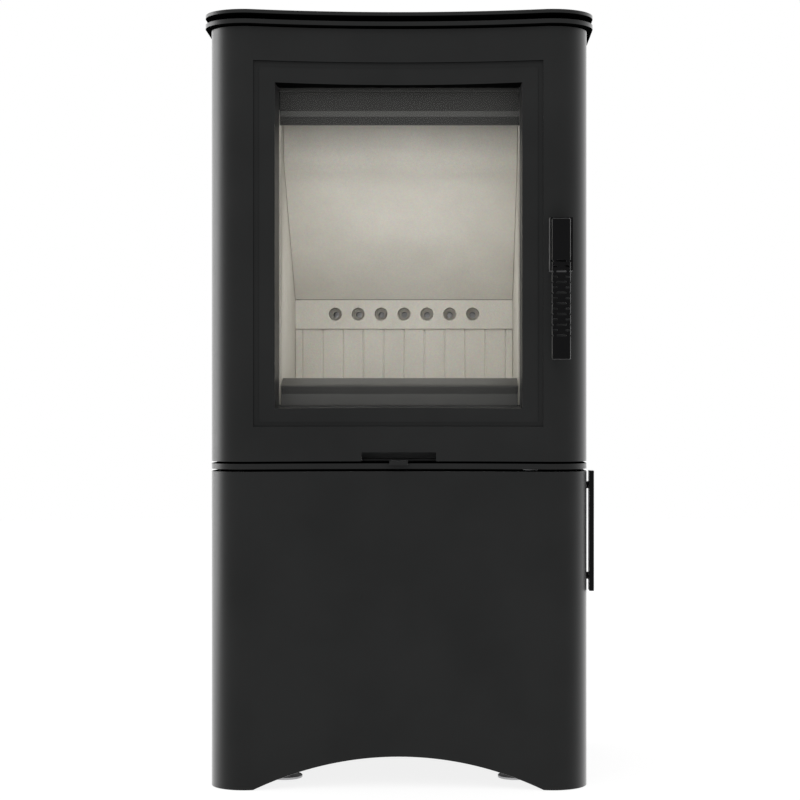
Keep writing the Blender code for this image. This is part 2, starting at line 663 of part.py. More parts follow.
def front_band(name, inset, thickness, half, low, high, mat=None):
    """A curved panel that follows the concave front, seen from the front as a rectangle."""
    outline = front_chain(inset, -0.16)[1:-1] + front_chain(inset + thickness, -0.16)[1:-1][::-1]
    panel = prism(name, outline, low, high, mat)
    return keep_inside(panel, box("limit", (-half, half), (-0.3, 0.0), (low - 0.01, high + 0.01)))


FLANGE_HALF, FLANGE_REACH = 0.199, 0.005
PANEL_SHEET, FLANGE_SHEET = 0.0030, 0.0022
window_frame = front_band("window_frame", PANEL_DEPTH, PANEL_SHEET, PANEL_HALF, PANEL_BOTTOM, PANEL_TOP, paint)
flange = front_band(
    "flange", RECESS_DEPTH, FLANGE_SHEET, FLANGE_HALF, RECESS_BOTTOM - FLANGE_REACH, RECESS_TOP + FLANGE_REACH
)
reveal = box(
    "reveal",
    (-OPENING_HALF - SKIN, OPENING_HALF + SKIN),
    (-0.25, REVEAL_BACK_Y),
    (OPENING_BOTTOM - SKIN, OPENING_TOP + SKIN),
)
keep_inside(reveal, prism("behind_panel", front_chain(PANEL_DEPTH + 0.0005, -0.16), 0.4, 1.1))
join(window_frame, flange, reveal)


def tapered_opening():
    """The window's reveal: a rectangle at the front that narrows evenly towards the glass."""
    front_y, back_y = -0.24, -0.15
    front_edge_y = FRONT_Y + 0.006
    rate = REVEAL_TAPER / (REVEAL_BACK_Y - front_edge_y)
    bm = bmesh.new()
    rings = []
    for y in (front_y, back_y):
        shrink = (y - front_edge_y) * rate
        half = OPENING_HALF - shrink
        low, high = OPENING_BOTTOM + shrink, OPENING_TOP - shrink
        corners = ((-half, y, low), (half, y, low), (half, y, high), (-half, y, high))
        rings.append([bm.verts.new(p) for p in corners])
    bm.faces.new(rings[0])
    bm.faces.new(rings[1])
    for i in range(4):
        j = (i + 1) % 4
        bm.faces.new((rings[0][i], rings[0][j], rings[1][j], rings[1][i]))
    return mesh_object("opening", bm, (0, 0, 0), None)


cut(window_frame, tapered_opening())

glass_half, glass_low, glass_high = 0.176, 0.504, 0.962
gasket_back_y = REVEAL_BACK_Y + 0.0025
gasket_outline = rounded_rectangle(glass_half - 0.001, glass_low + 0.001, glass_high - 0.001, 0.008)
glass_gasket = prism("glass_gasket", gasket_outline, REVEAL_BACK_Y + GAP, gasket_back_y, rope_mat, axis="Y")
gasket_hole = rounded_rectangle(0.1655, 0.5145, 0.9515, 0.004)
cut(glass_gasket, prism("hole", gasket_hole, -0.2, -0.1, axis="Y"))

glass_front_y = gasket_back_y + GAP
glass_back_y = glass_front_y + GLASS_THICKNESS
glass_y = (glass_front_y, glass_back_y)
door_glass = box("door_glass", (-glass_half, glass_half), glass_y, (glass_low, glass_high), glass_mat)

retainer_y = (glass_back_y + GAP, FRAME_BACK_Y - SKIN - GAP)
retainer_outline = rounded_rectangle(0.1860, 0.5050, 0.9610, 0.008)
glass_retainer = prism("glass_retainer", retainer_outline, *retainer_y, inner_paint, axis="Y")
cut(glass_retainer, prism("hole", rounded_rectangle(0.1670, 0.5185, 0.9475, 0.004), -0.2, -0.1, axis="Y"))

FRAME_BOTTOM, FRAME_TOP = 0.4550, 1.0120
LUG_HEIGHT, BEARING_GAP = 0.0040, 0.0005
door_frame = inner_frame("door_inner_frame", FRAME_BOTTOM, FRAME_TOP, inner_paint)
LUG_INSET = 0.0005           # the lugs start a little inside the frame's edges
lower_lug = (FRAME_BOTTOM + LUG_INSET, FRAME_BOTTOM + LUG_INSET + LUG_HEIGHT)
upper_lug = (FRAME_TOP - LUG_INSET - LUG_HEIGHT, FRAME_TOP - LUG_INSET)
join(door_frame, hinge_lug(*lower_lug), hinge_lug(*upper_lug))
cut(
    door_frame,
    box("window", (-0.1655, 0.1655), (-0.2, -0.1), (0.517, 0.949)),
    hinge_hole(*lower_lug),
    hinge_hole(*upper_lug),
)
rope_half_depth = (PLATE_FRONT_Y - FRAME_BACK_Y) / 2 - GAP
rope_y = (PLATE_FRONT_Y + FRAME_BACK_Y) / 2
door_rope_seal = cord_ring(
    "door_rope_seal", 0.1850, 0.4597, 0.9850, 0.015, rope_y, 0.0042, rope_half_depth, rope_mat
)

handle_bracket = box(
    "door_handle_bracket", (0.2025, 0.2329), (HANDLE_BACK_Y + 0.0015, -0.195), (0.6970, 0.7680), handle_paint
)
cut(
    handle_bracket,
    prism("front_face", front_chain(-GAP, -0.15), 0.6, 0.9),
    rod("bearing", spindle_hole_radius, (handle_x, -0.25, HANDLE_AXIS_Z), 0.06, axis="Y"),
)
fire_door_pieces = [
    door_shell, window_frame, glass_gasket, door_glass, glass_retainer, door_frame, door_rope_seal,
    handle_bracket,
]

# ---------------------------------------------------------------- fire door handle and latch
door_handle = box(
    "door_handle",
    (HANDLE_LEFT, HANDLE_RIGHT),
    (HANDLE_FRONT_Y, HANDLE_BACK_Y),
    (HANDLE_BOTTOM, HANDLE_TOP),
    handle_paint,
)
bevel_cut = 0.0018
bevel(door_handle, bevel_cut)
SLOT_TOP_Z, SLOT_PITCH, SLOT_HEIGHT = 0.7095, 0.01415, 0.0026
for row in range(8):
    slot_z = SLOT_TOP_Z - row * SLOT_PITCH
    span = (slot_z - SLOT_HEIGHT / 2, slot_z + SLOT_HEIGHT / 2)
    cut(door_handle, box("slot", (handle_x - 0.0068, handle_x + 0.0068), (-0.26, -0.23), span))
    for edge_x in (HANDLE_LEFT, HANDLE_RIGHT):
        cut(door_handle, box("nick", (edge_x - 0.0015, edge_x + 0.0015), (-0.26, -0.23), span))
for row in range(7):
    slot_z = SLOT_TOP_Z - (row + 0.5) * SLOT_PITCH
    span = (slot_z - SLOT_HEIGHT / 2, slot_z + SLOT_HEIGHT / 2)
    for side in (-1, 1):
        slot_x = sorted((handle_x + side * 0.0052, handle_x + side * 0.0112))
        cut(door_handle, box("slot", slot_x, (-0.26, -0.23), span))

CAM_FRONT_Y, CAM_BACK_Y = -0.1640, -0.1580
spindle = rod(
    "handle_spindle",
    SPINDLE_RADIUS,
    (handle_x, HANDLE_BACK_Y + GAP, HANDLE_AXIS_Z),
    CAM_BACK_Y + 0.002 - HANDLE_BACK_Y - GAP,
    zinc,
    axis="Y",
)


def link_outline(hub_radius, tip_radius, reach, lean):
    """Two circles and the tangents between them, leaning by an angle from +X."""
    tangent = math.acos((hub_radius - tip_radius) / reach)
    tip = (reach * math.cos(lean), reach * math.sin(lean))
    return arc_points((0, 0), hub_radius, lean + tangent, lean + 2 * math.pi - tangent, 12) + arc_points(
        tip, tip_radius, lean - tangent, lean + tangent, 6
    )


CAM_LEAN = math.radians(20)
cam_points = [(handle_x + x, HANDLE_AXIS_Z + z) for x, z in link_outline(0.010, 0.005, 0.022, CAM_LEAN)]
latch_cam = prism("latch_cam", cam_points, CAM_FRONT_Y, CAM_BACK_Y, zinc, axis="Y")
cut(latch_cam, rod("bore", spindle_hole_radius, (handle_x, -0.18, HANDLE_AXIS_Z), 0.04, axis="Y"))

KEEPER_RIGHT, KEEPER_WALL = 0.2490, 0.003
lip_y = (CAM_FRONT_Y - 0.0005 - KEEPER_WALL, CAM_FRONT_Y - 0.0005)
keeper_z = (HANDLE_AXIS_Z - 0.014, HANDLE_AXIS_Z + 0.0015)
keeper_y = (PLATE_FRONT_Y - GAP - KEEPER_WALL, PLATE_FRONT_Y - GAP)
latch_keeper = box("latch_keeper", (0.2240, KEEPER_RIGHT), keeper_y, keeper_z, zinc)
join(
    latch_keeper,
    box("leg", (KEEPER_RIGHT - KEEPER_WALL, KEEPER_RIGHT), (lip_y[0], PLATE_FRONT_Y - GAP), keeper_z),
    box("lip", (handle_x + 0.022, KEEPER_RIGHT), lip_y, keeper_z),
)
handle_pieces = [door_handle, spindle, latch_cam]

# ---------------------------------------------------------------- fire door hinges
bracket_height = 0.004
plate_y = PLATE_FRONT_Y - GAP
low = lower_lug[0] - BEARING_GAP
bracket_lower = hinge_bracket("hinge_bracket_lower", low - bracket_height, low, inner_paint, plate_y)
low = upper_lug[1] + BEARING_GAP
bracket_upper = hinge_bracket("hinge_bracket_upper", low, low + bracket_height, inner_paint, plate_y)
pin_lower = hinge_pin("hinge_pin_lower", 0.4475, 0.4625, zinc)
pin_upper = hinge_pin("hinge_pin_upper", 1.0055, 1.0205, zinc)
static += [latch_keeper, bracket_lower, bracket_upper, pin_lower, pin_upper]

# ---------------------------------------------------------------- air control
SLIDER_LOW, SLIDER_HIGH = HEARTH_TOP + 0.0004, 0.4415
TAB_BACK_Y, TAB_FRONT_Y = -0.1892, -0.1950
air_slider = box("air_slider", (-TAB_HALF, TAB_HALF), (TAB_FRONT_Y, TAB_BACK_Y), (TAB_BOTTOM, TAB_TOP), zinc)
join(
    air_slider,
    box("arm", (-0.009, 0.009), (TAB_BACK_Y - 0.002, -0.100), (SLIDER_LOW, SLIDER_HIGH)),
    box("damper", (-0.100, 0.100), (-0.115, -0.070), (SLIDER_LOW, SLIDER_HIGH)),
)
for slot_x in (-0.075, -0.025, 0.025, 0.075):
    cut(air_slider, box("slot", (slot_x - 0.010, slot_x + 0.010), AIR_SLOT_Y, (0.43, 0.45)))

# ---------------------------------------------------------------- pedestal
pedestal_left, pedestal_right, pedestal_back = side_and_back("pedestal", PEDESTAL_BOTTOM, PEDESTAL_TOP, paint)
cut(pedestal_back, rod("inlet", INLET_RADIUS + 0.0015, (0.0, 0.18, INLET_Z), 0.06, axis="Y", steps=24))
LINER_INSET, LINER_WALL, LINER_FRONT_Y = 0.008, 0.0025, -0.140
FLOOR_BOTTOM, FLOOR_TOP = 0.0520, 0.0550
LINER_BOTTOM, LINER_TOP = FLOOR_TOP + GAP, HEARTH_BOTTOM - GAP
liner = rear_band(
    "log_store_liner", LINER_INSET, LINER_WALL, LINER_FRONT_Y, LINER_BOTTOM, LINER_TOP, inner_paint
)
cut(liner, rod("inlet", INLET_RADIUS + 0.003, (0.0, 0.15, INLET_Z), 0.1, axis="Y", steps=24))
floor_outline = rear_chain(0.006, -0.142)
pedestal_floor = prism("pedestal_floor", floor_outline, FLOOR_BOTTOM, FLOOR_TOP, inner_paint)

feet = []
stud_top, nut_low, nut_high = 0.066, 0.0435, FLOOR_BOTTOM - GAP
foot_profile = [
    (0, 0), (FOOT_RADIUS, 0), (FOOT_RADIUS, 0.0035), (0.005, 0.008), (0.005, nut_low), (0.009, nut_low),
    (0.009, nut_high), (0.005, nut_high), (0.005, stud_top), (0, stud_top),
]
for number, (x, y) in enumerate(
    ((-FOOT_X, FOOT_FRONT_Y), (FOOT_X, FOOT_FRONT_Y), (-FOOT_X, FOOT_REAR_Y), (FOOT_X, FOOT_REAR_Y)), start=1
):
    feet.append(turned(f"levelling_foot_{number}", foot_profile, (x, y, 0.0), zinc, steps=16))
    cut(pedestal_floor, rod("stud_hole", 0.0053, (x, y, 0.04), 0.04))

AIR_BOX_HALF, AIR_BOX_FRONT_Y, AIR_BOX_BACK_Y, AIR_BOX_BOTTOM = 0.060, 0.090, 0.196, 0.330
air_box = box(
    "outside_air_box",
    (-AIR_BOX_HALF, AIR_BOX_HALF),
    (AIR_BOX_FRONT_Y, AIR_BOX_BACK_Y),
    (AIR_BOX_BOTTOM, LINER_TOP),
    inner_paint,
)
cut(
    air_box,
    box(
        "hollow",
        (-AIR_BOX_HALF + 0.002, AIR_BOX_HALF - 0.002),
        (AIR_BOX_FRONT_Y + 0.002, AIR_BOX_BACK_Y - 0.002),
        (AIR_BOX_BOTTOM + 0.002, 0.5),
    ),
    rod("inlet", INLET_RADIUS + GAP, (0.0, 0.17, INLET_Z), 0.05, axis="Y", steps=24),
)
spigot_start = 0.186
spigot_flange_y = BODY_DEPTH / 2 + GAP - spigot_start
spigot_length = INLET_BACK_Y - spigot_start
spigot_profile = [
    (0, 0), (INLET_RADIUS, 0), (INLET_RADIUS, spigot_flange_y), (0.050, spigot_flange_y),
    (0.050, spigot_flange_y + 0.002), (INLET_RADIUS, spigot_flange_y + 0.002),
    (INLET_RADIUS, spigot_length), (0, spigot_length),
]
spigot = turned("outside_air_spigot", spigot_profile, (0.0, spigot_start, INLET_Z), zinc, axis="Y", steps=24)
cut(spigot, rod("bore", INLET_RADIUS - 0.002, (0.0, 0.17, INLET_Z), 0.1, axis="Y", steps=24))
magnet = box("log_door_magnet", (0.165, 0.195), (-0.1545, -0.1300), (0.4060, 0.4240), zinc)
join(magnet, box("hanger", (0.170, 0.190), (-0.1440, -0.1310), (0.4235, LINER_TOP)))
static += [
    pedestal_left, pedestal_right, pedestal_back, liner, pedestal_floor, *feet, air_box, spigot, magnet
]

# ---------------------------------------------------------------- log store door
log_shell = door_pan("log_door_shell", PEDESTAL_BOTTOM, PEDESTAL_TOP, paint, floor=False)
arch = rod("arch", ARCH_RADIUS, (0.0, -0.26, ARCH_TOP - ARCH_RADIUS), 0.09, axis="Y", steps=96)
cut(log_shell, arch)
LOG_FRAME_BOTTOM, LOG_FRAME_TOP = 0.0597, 0.4180
log_frame = inner_frame("log_door_inner_frame", LOG_FRAME_BOTTOM, LOG_FRAME_TOP, inner_paint)
log_lower = (LOG_FRAME_BOTTOM + LUG_INSET, LOG_FRAME_BOTTOM + LUG_INSET + LUG_HEIGHT)
log_upper = (LOG_FRAME_TOP - LUG_INSET - LUG_HEIGHT, LOG_FRAME_TOP - LUG_INSET)
join(log_frame, hinge_lug(*log_lower), hinge_lug(*log_upper))
cut(log_frame, hinge_hole(*log_lower), hinge_hole(*log_upper))

bar_x, bar_y = (BAR_INNER_X, BAR_OUTER_X), (BAR_FRONT_Y, BAR_BACK_Y)
log_handle = box("log_door_handle", bar_x, bar_y, (BAR_BOTTOM, BAR_TOP), handle_paint)
bevel(log_handle, bevel_cut)
for post_z in (BAR_BOTTOM + 0.020, BAR_TOP - 0.020):
    post_x = BODY_HALF_WIDTH + GAP
    join(log_handle, rod("post", 0.005, (post_x, -0.1563, post_z), BAR_INNER_X + 0.001 - post_x, axis="X"))
log_door_pieces = [log_shell, log_frame, log_handle]

low = log_lower[0] - 0.0001
log_bracket_lower = hinge_bracket("log_hinge_bracket_lower", LINER_BOTTOM, low - 0.0003, inner_paint, -0.125)
low = log_upper[1] + BEARING_GAP
log_bracket_upper = hinge_bracket(
    "log_hinge_bracket_upper", low, low + bracket_height, inner_paint, -0.138, riser=(low, LINER_TOP)
)
log_pin_lower = hinge_pin("log_hinge_pin_lower", 0.0500, 0.0670, zinc)
log_pin_upper = hinge_pin("log_hinge_pin_upper", 0.4110, 0.4250, zinc)
static += [log_bracket_lower, log_bracket_upper, log_pin_lower, log_pin_upper]

for parent, pieces in (
    (stove, static),
    (fire_door, fire_door_pieces),
    (handle_axis, handle_pieces),
    (slider_guide, [air_slider]),
    (log_door, log_door_pieces),
):
    for piece in pieces:
        attach(piece, parent)
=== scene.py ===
import math

import bmesh
import bpy
from mathutils import Matrix, Vector


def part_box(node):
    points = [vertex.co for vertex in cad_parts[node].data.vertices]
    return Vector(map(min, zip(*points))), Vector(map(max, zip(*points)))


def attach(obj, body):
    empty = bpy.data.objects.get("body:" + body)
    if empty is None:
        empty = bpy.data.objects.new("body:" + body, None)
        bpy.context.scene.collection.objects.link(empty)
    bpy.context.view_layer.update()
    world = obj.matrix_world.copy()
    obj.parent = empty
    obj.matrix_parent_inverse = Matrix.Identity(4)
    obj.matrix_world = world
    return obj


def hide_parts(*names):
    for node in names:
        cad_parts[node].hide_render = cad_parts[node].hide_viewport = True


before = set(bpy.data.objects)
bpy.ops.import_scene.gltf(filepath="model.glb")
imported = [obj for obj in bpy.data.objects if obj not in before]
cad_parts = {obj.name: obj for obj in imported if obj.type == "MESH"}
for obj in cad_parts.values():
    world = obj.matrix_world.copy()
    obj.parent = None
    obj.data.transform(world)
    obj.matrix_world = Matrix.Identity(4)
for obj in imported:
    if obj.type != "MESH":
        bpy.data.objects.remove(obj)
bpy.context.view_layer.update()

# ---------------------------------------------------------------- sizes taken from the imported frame
plate_low, plate_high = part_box("hearth_plate")
CX = (plate_low.x + plate_high.x) / 2          # the stove's own centreline
CY = (plate_low.y + plate_high.y) / 2          # half the body's depth
HALF_WIDTH = (plate_high.x - plate_low.x) / 2
HALF_DEPTH = (plate_high.y - plate_low.y) / 2
CORNER = 0.048               # radius of the body's upright corners
SAGITTA = 0.0227             # depth of the front's inward curve
SKIN = 0.003                 # door sheet
CASING = 0.0025              # side and back sheet
CORNER_STEPS, ARC_STEPS = 24, 64
GAP = 0.0003

CORNER_X = HALF_WIDTH - CORNER
FRONT_CORNER_Y = -HALF_DEPTH + CORNER
corner_rise = CORNER - SAGITTA
ARC_RADIUS = (CORNER_X**2 + corner_rise**2 - CORNER**2) / (2 * SAGITTA)
ARC_CENTRE_Y = -HALF_DEPTH + SAGITTA - ARC_RADIUS
ARC_HALF_ANGLE = math.asin(CORNER_X / (ARC_RADIUS + CORNER))


def local(node):
    """A CAD node's box as ((x0, x1), (y0, y1), (z0, z1)) in the stove's own coordinates."""
    low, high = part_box(node)
    return (low.x - CX, high.x - CX), (low.y - CY, high.y - CY), (low.z, high.z)


# ---------------------------------------------------------------- outlines
def arc_points(centre, radius, start, end, steps):
    return [
        (
            centre[0] + radius * math.cos(start + (end - start) * i / steps),
            centre[1] + radius * math.sin(start + (end - start) * i / steps),
        )
        for i in range(steps + 1)
    ]


def front_chain(inset, back_y):
    """From the left side at back_y, round the concave front, to the right side at back_y."""
    down, up = -math.pi / 2, math.pi / 2
    radius = CORNER - inset
    left = arc_points((-CORNER_X, FRONT_CORNER_Y), radius, -math.pi, down + ARC_HALF_ANGLE, CORNER_STEPS)
    right = arc_points((CORNER_X, FRONT_CORNER_Y), radius, down - ARC_HALF_ANGLE, 0.0, CORNER_STEPS)
    middle = arc_points(
        (0.0, ARC_CENTRE_Y), ARC_RADIUS + inset, up + ARC_HALF_ANGLE, up - ARC_HALF_ANGLE, ARC_STEPS
    )
    side = HALF_WIDTH - inset
    return [(-side, back_y)] + left + middle[1:-1] + right + [(side, back_y)]


def rear_chain(inset, front_y):
    """From the right side at front_y, round the back, to the left side at front_y."""
    radius = CORNER - inset
    right = arc_points((CORNER_X, -FRONT_CORNER_Y), radius, 0.0, math.pi / 2, CORNER_STEPS)
    left = arc_points((-CORNER_X, -FRONT_CORNER_Y), radius, math.pi / 2, math.pi, CORNER_STEPS)
    side = HALF_WIDTH - inset
    return [(side, front_y)] + right + left + [(-side, front_y)]


def full_outline(inset):
    return front_chain(inset, 0.0)[1:-1] + rear_chain(inset, 0.0)[1:-1]


def rounded_rectangle(x, z, radius, steps=8):
    """Outline round the rectangle between the limits x and z."""
    quarter = math.pi / 2
    points = []
    corners = ((x[1], z[1], 0), (x[0], z[1], 1), (x[0], z[0], 2), (x[1], z[0], 3))
    for cx, cz, turn in corners:
        centre = (cx - math.copysign(radius, cx - sum(x) / 2), cz - math.copysign(radius, cz - sum(z) / 2))
        points += arc_points(centre, radius, turn * quarter, (turn + 1) * quarter, steps)
    return points


def fillet(profile, radius, steps=6):
    """An open polyline with each inner corner rounded."""
    points = [profile[0]]
    for before, here, after in zip(profile, profile[1:], profile[2:]):
        a = (Vector(before) - Vector(here)).normalized()
        b = (Vector(after) - Vector(here)).normalized()
        half = a.angle(b) / 2
        shorter = min((Vector(before) - Vector(here)).length, (Vector(after) - Vector(here)).length)
        reach = min(radius / math.tan(half), 0.45 * shorter)
        start, end = Vector(here) + a * reach, Vector(here) + b * reach
        for i in range(steps + 1):
            t = i / steps
            points.append(tuple(start * (1 - t) ** 2 + Vector(here) * 2 * t * (1 - t) + end * t**2))
    points.append(profile[-1])
    return points


# ---------------------------------------------------------------- meshes
def mesh_object(name, bm):
    bmesh.ops.recalc_face_normals(bm, faces=bm.faces)
    bmesh.ops.translate(bm, vec=(CX, CY, 0.0), verts=bm.verts)
    mesh = bpy.data.meshes.new(name)
    bm.to_mesh(mesh)
    bm.free()
    piece = bpy.data.objects.new(name, mesh)
    bpy.context.collection.objects.link(piece)
    return piece


def prism(name, outline, low, high, axis="Z"):
    """An outline extruded along Z (points are x, y), Y (points are x, z) or X (points are y, z)."""
    lift = {
        "Z": lambda p, t: (p[0], p[1], t),
        "Y": lambda p, t: (p[0], t, p[1]),
        "X": lambda p, t: (t, p[0], p[1]),
    }[axis]
    bm = bmesh.new()
    rings = [[bm.verts.new(lift(p, t)) for p in outline] for t in (low, high)]
    bm.faces.new(rings[0])
    bm.faces.new(rings[1])
    count = len(outline)
    for i in range(count):
        j = (i + 1) % count
        bm.faces.new((rings[0][i], rings[0][j], rings[1][j], rings[1][i]))
    return mesh_object(name, bm)


def block(name, x, y, z):
    outline = [(x[0], y[0]), (x[1], y[0]), (x[1], y[1]), (x[0], y[1])]
    return prism(name, outline, z[0], z[1])


def turned(name, profile, place, axis="Z", steps=64):
    """A profile of (radius, height) pairs turned about an axis through place; it closes on itself."""
    bm = bmesh.new()
    rings = []
    for radius, height in profile:
        if radius == 0.0:
            rings.append([bm.verts.new((0.0, 0.0, height))])
            continue
        around = [2 * math.pi * i / steps for i in range(steps)]
        rings.append([bm.verts.new((radius * math.cos(a), radius * math.sin(a), height)) for a in around])
    pairs = list(zip(rings, rings[1:]))
    if len(rings[0]) > 1:
        pairs.append((rings[-1], rings[0]))
    for lower, upper in pairs:
        for i in range(steps):
            j = (i + 1) % steps
            corners = [lower[i % len(lower)], lower[j % len(lower)]]
            corners += [upper[j % len(upper)], upper[i % len(upper)]]
            bm.faces.new(list(dict.fromkeys(corners)))
    if axis == "Y":
        bmesh.ops.rotate(bm, cent=(0, 0, 0), matrix=Matrix.Rotation(-math.pi / 2, 3, "X"), verts=bm.verts)
    if axis == "X":
        bmesh.ops.rotate(bm, cent=(0, 0, 0), matrix=Matrix.Rotation(math.pi / 2, 3, "Y"), verts=bm.verts)
    bmesh.ops.translate(bm, vec=place, verts=bm.verts)
    return mesh_object(name, bm)


def rod(name, radius, start, length, axis="Z", steps=64):
    return turned(name, [(0.0, 0.0), (radius, 0.0), (radius, length), (0.0, length)], start, axis, steps)


def combine(target, tools, operation):
    """Applies one Boolean for each tool and removes the tools."""
    for tool in tools:
        step = target.modifiers.new("shape", "BOOLEAN")
        step.operation = operation
        step.solver = "EXACT"
        step.object = tool
        apply_modifiers(target)
        bpy.data.objects.remove(tool)
    return target


def apply_modifiers(piece):
    bpy.context.view_layer.update()
    graph = bpy.context.evaluated_depsgraph_get()
    shaped = bpy.data.meshes.new_from_object(piece.evaluated_get(graph))
    piece.modifiers.clear()
    old = piece.data
    piece.data = shaped
    bpy.data.meshes.remove(old)


def cut(target, *tools):
    return combine(target, tools, "DIFFERENCE")


def join(target, *tools):
    return combine(target, tools, "UNION")


def keep_inside(target, tool):
    return combine(target, [tool], "INTERSECT")


def soften(piece, width, segments=2, angle=30):
    """Rounded edges, and shading that stays flat on the flats between them."""
    for face in piece.data.polygons:
        face.use_smooth = True
    if not width:
        piece.data.set_sharp_from_angle(angle=math.radians(angle))
    else:
        step = piece.modifiers.new("edges", "BEVEL")
        step.width = width
        step.segments = segments
        step.limit_method = "ANGLE"
        step.angle_limit = math.radians(angle)
        step.use_clamp_overlap = True
    step = piece.modifiers.new("shading", "WEIGHTED_NORMAL")
    step.keep_sharp = True
    step.weight = 50


def dress(piece, mat, body, nodes=(), width=0.0006, segments=2, angle=30):
    """Material, edges and body of a finished piece that stands for some CAD nodes."""
    piece.data.materials.clear()
    piece.data.materials.append(mat)
    soften(piece, width, segments, angle)
    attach(piece, body)
    if nodes:
        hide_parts(*nodes)
    return piece


def shade(piece, mat, wanted):
    """A second material on the faces for which wanted(normal, centre) holds."""
    piece.data.materials.append(mat)
    number = len(piece.data.materials) - 1
    for face in piece.data.polygons:
        if wanted(face.normal, face.center):
            face.material_index = number


def keep(node, mat, width=0.0004):
    """A CAD node that stays, with its material and softened edges."""
    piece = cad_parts[node]
    piece.data.materials.clear()
    piece.data.materials.append(mat)
    soften(piece, width, 1, 40)
    return piece


# ---------------------------------------------------------------- materials
def new_material(name):
    mat = bpy.data.materials.new(name)
    mat.use_nodes = True
    tree = mat.node_tree
    return mat, tree, tree.nodes["Principled BSDF"]


def node(tree, kind, **settings):
    made = tree.nodes.new(kind)
    for key, value in settings.items():
        if key in made.inputs:
            made.inputs[key].default_value = value
        else:
            setattr(made, key, value)
    return made


def coordinates(tree, stretch=(1.0, 1.0, 1.0)):
    """Object coordinates in metres, so that a grain has its real size on every piece."""
    source = node(tree, "ShaderNodeTexCoord")
    mapping = node(tree, "ShaderNodeMapping")
    mapping.inputs["Scale"].default_value = stretch
    tree.links.new(source.outputs["Object"], mapping.inputs["Vector"])
    return mapping.outputs["Vector"]


def noise(tree, where, scale, detail=2.0, roughness=0.5):
    made = node(tree, "ShaderNodeTexNoise", Scale=scale, Detail=detail, Roughness=roughness)
    tree.links.new(where, made.inputs["Vector"])
    return made.outputs["Fac"]


def ramp(tree, value, low, high, start=0.0, end=1.0):
    """The value from start to end mapped to the span from low to high."""
    made = node(tree, "ShaderNodeMapRange")
    made.inputs["From Min"].default_value = start
    made.inputs["From Max"].default_value = end
    made.inputs["To Min"].default_value = low
    made.inputs["To Max"].default_value = high
    tree.links.new(value, made.inputs["Value"])
    return made.outputs["Result"]


def tint(tree, value, colour_low, colour_high):
    made = node(tree, "ShaderNodeMix", data_type="RGBA")
    # sockets of every type carry the same names, so the colour ones are found by their type
    for socket, colour in zip([s for s in made.inputs if s.type == "RGBA"], (colour_low, colour_high)):
        socket.default_value = (*colour, 1.0)
    tree.links.new(value, made.inputs[0])
    return [s for s in made.outputs if s.type == "RGBA"][0]


def bump(tree, height, distance, strength=1.0, under=None):
    made = node(tree, "ShaderNodeBump", Distance=distance, Strength=strength)
    tree.links.new(height, made.inputs["Height"])
    if under:
        tree.links.new(under, made.inputs["Normal"])
    return made.outputs["Normal"]


def painted(name, dark, light, rough_low, rough_high, grain, depth, specular, rim, rim_power=3.0):
    """High-temperature paint: a fine sprayed grain, slow changes of gloss, and more gloss at grazing angles."""
    mat, tree, shader = new_material(name)
    where = coordinates(tree)
    slow = noise(tree, where, 9.0, 3.0)
    fine = noise(tree, where, grain, 2.0, 0.6)
    colour = tint(tree, ramp(tree, slow, 0.0, 1.0, 0.35, 0.65), dark, light)
    tree.links.new(colour, shader.inputs["Base Color"])
    tree.links.new(ramp(tree, slow, rough_low, rough_high, 0.3, 0.7), shader.inputs["Roughness"])
    shader.inputs["Specular IOR Level"].default_value = specular
    normal = bump(tree, fine, depth)
    tree.links.new(normal, shader.inputs["Normal"])
    if rim:
        facing = node(tree, "ShaderNodeLayerWeight", Blend=0.5)
        raised = node(tree, "ShaderNodeMath", operation="POWER")
        tree.links.new(facing.outputs["Facing"], raised.inputs[0])
        raised.inputs[1].default_value = rim_power
        share = node(tree, "ShaderNodeMath", operation="MULTIPLY")
        tree.links.new(raised.outputs[0], share.inputs[0])
        share.inputs[1].default_value = rim
        share.use_clamp = True
        gloss = node(tree, "ShaderNodeBsdfGlossy", Roughness=0.38)
        gloss.inputs["Color"].default_value = (1.0, 1.0, 1.0, 1.0)
        tree.links.new(normal, gloss.inputs["Normal"])
        mix = node(tree, "ShaderNodeMixShader")
        tree.links.new(share.outputs[0], mix.inputs[0])
        tree.links.new(shader.outputs[0], mix.inputs[1])
        tree.links.new(gloss.outputs[0], mix.inputs[2])
        output = tree.nodes["Material Output"]
        tree.links.new(mix.outputs[0], output.inputs["Surface"])
    return mat


def vermiculite_board():
    """Pressed vermiculite: cream, matt, with flat mica flakes a millimetre or two across."""
    mat, tree, shader = new_material("vermiculite_board")
    where = coordinates(tree)
    flakes = node(tree, "ShaderNodeTexVoronoi", Scale=520.0)
    tree.links.new(where, flakes.inputs["Vector"])
    slow = noise(tree, where, 14.0, 3.0)
    base = tint(tree, ramp(tree, slow, 0.0, 1.0, 0.3, 0.7), (0.665, 0.648, 0.600), (0.725, 0.708, 0.658))
    fleck = node(tree, "ShaderNodeMix", data_type="RGBA", blend_type="MULTIPLY")
    fleck.inputs[0].default_value = 0.10
    colours = [s for s in fleck.inputs if s.type == "RGBA"]
    tree.links.new(base, colours[0])
    tree.links.new(flakes.outputs["Color"], colours[1])
    tree.links.new([s for s in fleck.outputs if s.type == "RGBA"][0], shader.inputs["Base Color"])
    shader.inputs["Roughness"].default_value = 0.92
    shader.inputs["Specular IOR Level"].default_value = 0.15
    grain = bump(tree, noise(tree, where, 900.0, 3.0, 0.7), 0.0004)
    tree.links.new(bump(tree, flakes.outputs["Distance"], 0.0003, 0.6, grain), shader.inputs["Normal"])
    return mat


